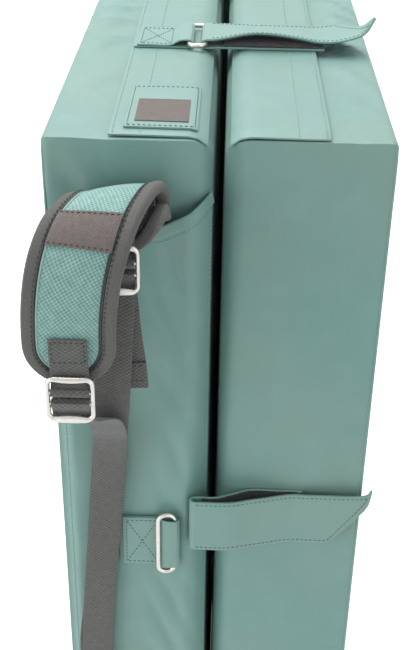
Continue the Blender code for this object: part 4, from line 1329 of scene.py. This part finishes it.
def binding(strap):
    """The tape folded round the pad's edge, its seam, and a fine piping beside it: pale on its first half,
    a painted highlight, and dark on its second half, painted shade.
    """
    route = rim_route(strap, strap.half + SEAT + BINDING / 2)

    def pinched(u, v, out):
        return route.place(u, v, out * (BINDING_PINCH if abs(v) < BINDING * 0.3 else 1))

    size, nodes = (route.length, BINDING, BINDING_THICK), [strap.prefix + "_binding"]
    name = strap.prefix + "_bound_edge"
    made = strip(name, size, pinched, "binding", strap.body, nodes, rows=4, selvage=0.0034, sharp=60)
    painted_shading_cord = rim_route(strap, strap.half - PAINTED_SHADING_CORD * 0.65)
    size = painted_shading_cord.length / 2, PAINTED_SHADING_CORD, PAINTED_SHADING_CORD
    # The piping's first half in pale thread is a painted highlight, and its second half in dark thread is
    # painted shade.
    for half, tone in enumerate(("pale", "dark")):
        shift = painted_shading_cord.length / 2 * half, 0, PAINTED_SHADING_CORD * 0.7 - PAD_THICK / 2
        name, finish = strap.prefix + "_" + tone + "_cord", tone + "_thread"
        strip(name, size, painted_shading_cord.place, finish, strap.body, selvage=PAINTED_SHADING_CORD * 0.4, shift=shift, sharp=60)
    seam = rim_route(strap, strap.half + SEAT + 0.0016)
    out = -(BINDING_THICK / 2 - 0.0002)
    name, rows = strap.prefix + "_binding_stitches", [((0, 0), (seam.length, 0))]
    stitches(name, rows, seam.place, out, "dark_thread", strap.body)


def badge(strap):
    """The plain band sewn across the first strap's pad, left bare."""
    off = PAD_THICK / 2 + PAD_CROWN + SEAT + BADGE_THICK / 2

    def place(u, v, out=0):
        crown = PAD_CROWN * (v / strap.half) ** 2
        return strap.path.place(BADGE_FROM + u - v * BADGE_SLANT, v, off + out - crown)

    size = BADGE_TO - BADGE_FROM, PAD_WIDTH, BADGE_THICK
    grid = {"cell": PAD_CELL, "rows": 10, "selvage": 0.0003}
    strip("strap_badge_band", size, place, "brown", strap.body, ["strap_badge"], **grid)
    rows = [((u, -BADGE_SEAM), (u, BADGE_SEAM)) for u in (BADGE_EDGE, size[0] - BADGE_EDGE)]
    stitches("strap_badge_stitches", rows, place, BADGE_THICK / 2, "dark_thread", strap.body)


def buckle(strap):
    """A rounded frame with a bowed lower rail, a loop bar and a grip bar."""
    half_short, half_long = (BUCKLE_WIDTH - BUCKLE_RAIL) / 2, (BUCKLE_HEIGHT - BUCKLE_RAIL) / 2
    bm = wire_loop(BUCKLE_RAIL, BUCKLE_THICK, half_short, half_long, BUCKLE_CORNER - BUCKLE_RAIL / 2)
    divide(bm, 0, -half_short, half_short, 0.0022)
    inner = half_long - BUCKLE_RAIL / 2
    for vert in bm.verts:
        bow = max(0, 1 - (vert.co.x / half_short) ** 2)
        low, high = (near(vert.co.z, end, BUCKLE_RAIL * 1.6) for end in (-half_long, half_long))
        if abs(vert.co.z) < half_long:
            if abs(vert.co.z + inner) < BUCKLE_RAIL:
                vert.co.z += PLATE_RISE * bow
            elif abs(vert.co.z - inner) < BUCKLE_RAIL:
                vert.co.z -= PLATE_RISE * 0.55 * bow
        vert.co.y -= (LOW_RAIL_BOW * low + HIGH_RAIL_BOW * high) * bow
    bar = {"segments": 16, "radius1": BUCKLE_BAR / 2, "radius2": BUCKLE_BAR / 2, "cap_ends": True}
    for down in (LOOP_BAR_DOWN, GRIP_BAR_DOWN):
        level = Matrix.Rotation(math.radians(90), 4, "Y")
        turn = Matrix.Translation((0, 0, BUCKLE_HEIGHT / 2 - down)) @ level
        bmesh.ops.create_cone(bm, depth=BUCKLE_WIDTH - BUCKLE_RAIL, matrix=turn, **bar)
    bmesh.ops.translate(bm, vec=strap.hang - Vector((0, 0, BUCKLE_HEIGHT / 2)), verts=bm.verts)
    piece(strap.prefix + "_cast_buckle", bm, "metal", strap.buckle, [strap.prefix + "_buckle"], 70)


def wrap(bar, start, end):
    """Points of a webbing round a buckle's bar, seen along X, with angles from the front upwards."""
    radius = BUCKLE_BAR / 2 + SEAT + WEBBING_THICK / 2
    return [Vector((bar.x, -back, up)) for back, up in arc((-bar.y, bar.z), radius, start, end, 10)]


def sewn_loop(strap, front_length):
    """The short loop sewn round the strap's end and over the buckle's loop bar."""
    path, hang = strap.path, strap.hang
    bar = Vector((hang.x, hang.y, hang.z - LOOP_BAR_DOWN))
    off = PAD_THICK / 2 + PAD_CROWN + SEAT * 3 + WEBBING_THICK / 2
    start, end = path.length - front_length, path.length - BUCKLE_LAP
    shares = [i / 4 for i in range(5)]
    front = [path.place(start + (end - start) * share, 0, off)[0] for share in shares]
    back = [path.place(path.length - LOOP_SEWN * share, 0, -off)[0] for share in shares]
    behind = Vector((hang.x, hang.y + BUCKLE_THICK / 2 + SEAT + WEBBING_THICK, hang.z - BUCKLE_CORNER))
    under = path.place(path.length, 0, -off)[0] - Vector((0, 0, WEBBING_THICK + SEAT * 2))
    turn = [behind, *wrap(bar, LOOP_TURN, -LOOP_TURN), under]
    leans = [(1, 0, LEAN)] * 5
    route = Route([*front, *turn, *back], [*leans, *[(1, 0, 0)] * len(turn), *leans], 4)
    name = strap.prefix + "_loop"
    grid = {"cell": 0.0016, "rows": 4}
    band(name + "_webbing", route, WEBBING, WEBBING_THICK, "webbing", strap.body, [name], **grid)
    edge = WEBBING / 2 - 0.0022
    rows = box_lines(0.002, front_length - BUCKLE_LAP - 0.010, -edge, edge, False)
    stitches(name + "_stitches", rows, route.place, WEBBING_THICK / 2, "dark_thread", strap.body)


def webbing(strap):
    """The adjusting webbing from its anchor round the buckle's grip bar, with its tail hemmed at the end.
    """
    hang = strap.hang
    bar = Vector((hang.x, hang.y, hang.z - GRIP_BAR_DOWN))
    behind = hang.y + BUCKLE_THICK / 2 + SEAT + WEBBING_THICK
    gripped_at = hang.z - BUCKLE_HEIGHT
    line = spline(strap.webbing, 4)
    line += [Vector((hang.x, behind, gripped_at + rise)) for rise in (0, BUCKLE_RAIL + BUCKLE_BAR / 2)]
    line += wrap(bar, -80, 90)
    turned = len(line)
    slot_back = Vector((hang.x, behind + WEBBING_THICK * 2 + SEAT, bar.z))
    line += spline([slot_back, *(slot_back + Vector(step) for step in strap.tail)], 4)
    route = Route(line, steps=2)
    split = next(far for far, point in zip(route.far, route.points) if point.z >= strap.lift[1])
    leaves = route.far[turned * 2]
    spans = (0, split), (split + SEAM_GAP, leaves), (leaves + SEAM_GAP, route.length)
    name = strap.prefix + "_webbing"
    grid = {"cell": WEBBING_CELL, "rows": 4}
    lower, upper, tail = (
        band(name + end, route, WEBBING, WEBBING_THICK, "webbing", None, nodes, span, **grid)
        for end, nodes, span in zip(("_ribbed", "_buckle_end", "_tail"), ([name], (), ()), spans)
    )
    towards = -1 if route.place(route.length)[1].y > 0 else 1
    off = towards * (WEBBING_THICK + SEAT)
    hem = Route([route.place(route.length - TAIL_HEM * i / 4, 0, off)[0] for i in range(5)], steps=2)
    name = strap.prefix + "_tail_hem"
    turned_up = band(name, hem, WEBBING - 0.0004, WEBBING_THICK, "webbing", None, **grid)
    edge = WEBBING / 2 - 0.0015
    rows = [((u, -edge), (u, edge)) for u in (0.0065, TAIL_HEM - 0.0025)]

    def face(u, v, out):
        point, normal = hem.place(u, v)
        normal = normal if normal.y < 0 else -normal
        return point + normal * out, normal

    sewn = stitches(strap.prefix + "_tail_stitches", rows, face, WEBBING_THICK / 2, "dark_thread", None)
    heights = *strap.lift, gripped_at - BUCKLE_FOLLOW, gripped_at
    held, parted, free, gripped = (own(hang.x, hang.y, height) for height in heights)
    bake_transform(lower)
    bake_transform(upper)
    for made in (tail, turned_up, sewn):
        own(*route.points[-1])
        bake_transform(made)


def anchor_and_root(strap):
    """The patch sewn over the webbing's lower end, and the tape in the pocket that holds the strap."""
    x, y, z = strap.webbing[0]
    front = y - WEBBING_THICK / 2 - SEAT * 2 - FABRIC / 2
    patch = Route([(x, front, z + ANCHOR_LENGTH * i / 3) for i in range(4)], steps=3)
    name = strap.prefix + "_anchor"
    band(name + "_patch", patch, ANCHOR_WIDTH, FABRIC, "strap", "left_half", [name], cell=0.005, rows=4)
    edge = ANCHOR_WIDTH / 2 - STITCH_EDGE
    rows = box_lines(STITCH_EDGE, ANCHOR_LENGTH - STITCH_EDGE, -edge, edge)
    stitches(name + "_stitches", rows, patch.place, FABRIC / 2, "thread", "left_half")
    back_y, bend = strap.root[0], HEIGHT + strap.root[1]
    start = strap.path.points[0]
    along = (strap.path.points[1] - start).normalized()
    line = [(start.x, back_y, bend - ROOT_DOWN * (1 - i / 3)) for i in range(4)]
    root = Route([*line, start - along * ROOT_CLEAR], steps=4)
    name = strap.prefix + "_root"
    band(name + "_tape", root, ROOT_WIDTH, ROOT_THICK, "webbing", "left_half", [name])


def harness():
    first = Strap("first_strap", FIRST_STRAP, FIRST_ROOT, FIRST_WEBBING, FIRST_LIFT, FIRST_TAIL)
    second = Strap("second_strap", SECOND_STRAP, SECOND_ROOT, SECOND_WEBBING, SECOND_LIFT, SECOND_TAIL)
    looks = (first, "twill", FIRST_LOOP_FRONT), (second, "mesh", SECOND_LOOP_FRONT)
    for strap, finish, loop_front in looks:
        pad(strap, finish)
        binding(strap)
        buckle(strap)
        sewn_loop(strap, loop_front)
        webbing(strap)
        anchor_and_root(strap)
    badge(first)


# Hinge


def hinge():
    """The strip sewn across the two halves at the back."""
    width, length = HINGE_LEAF * 2, HEIGHT - HINGE_END * 2
    line = [(-HINGE_LEAF + width * i / 12, HINGE_Y, HEIGHT / 2) for i in range(13)]
    route = Route(line, (0, 0, 1), 2)
    nodes = ["left_hinge_leaf", "right_hinge_leaf"]
    made = band("hinge_strip", route, length, HINGE_THICK, "cover", None, nodes, cell=0.003, rows=60)
    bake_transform(made)
    for side, prefix in ((-1, "left"), (1, "right")):
        u = HINGE_LEAF + side * (HINGE_LEAF - STITCH_EDGE)
        rows = [((u, -length / 2 + 0.004), (u, length / 2 - 0.004))]
        name = prefix + "_hinge_stitches"
        stitches(name, rows, route.place, -HINGE_THICK / 2, "thread", prefix + "_half")


def main():
    camera()
    studio()
    materials()
    covers()
    access_flap(-1, "left")
    access_flap(1, "right")
    label()
    pocket()
    closures()
    harness()
    hinge()


main()
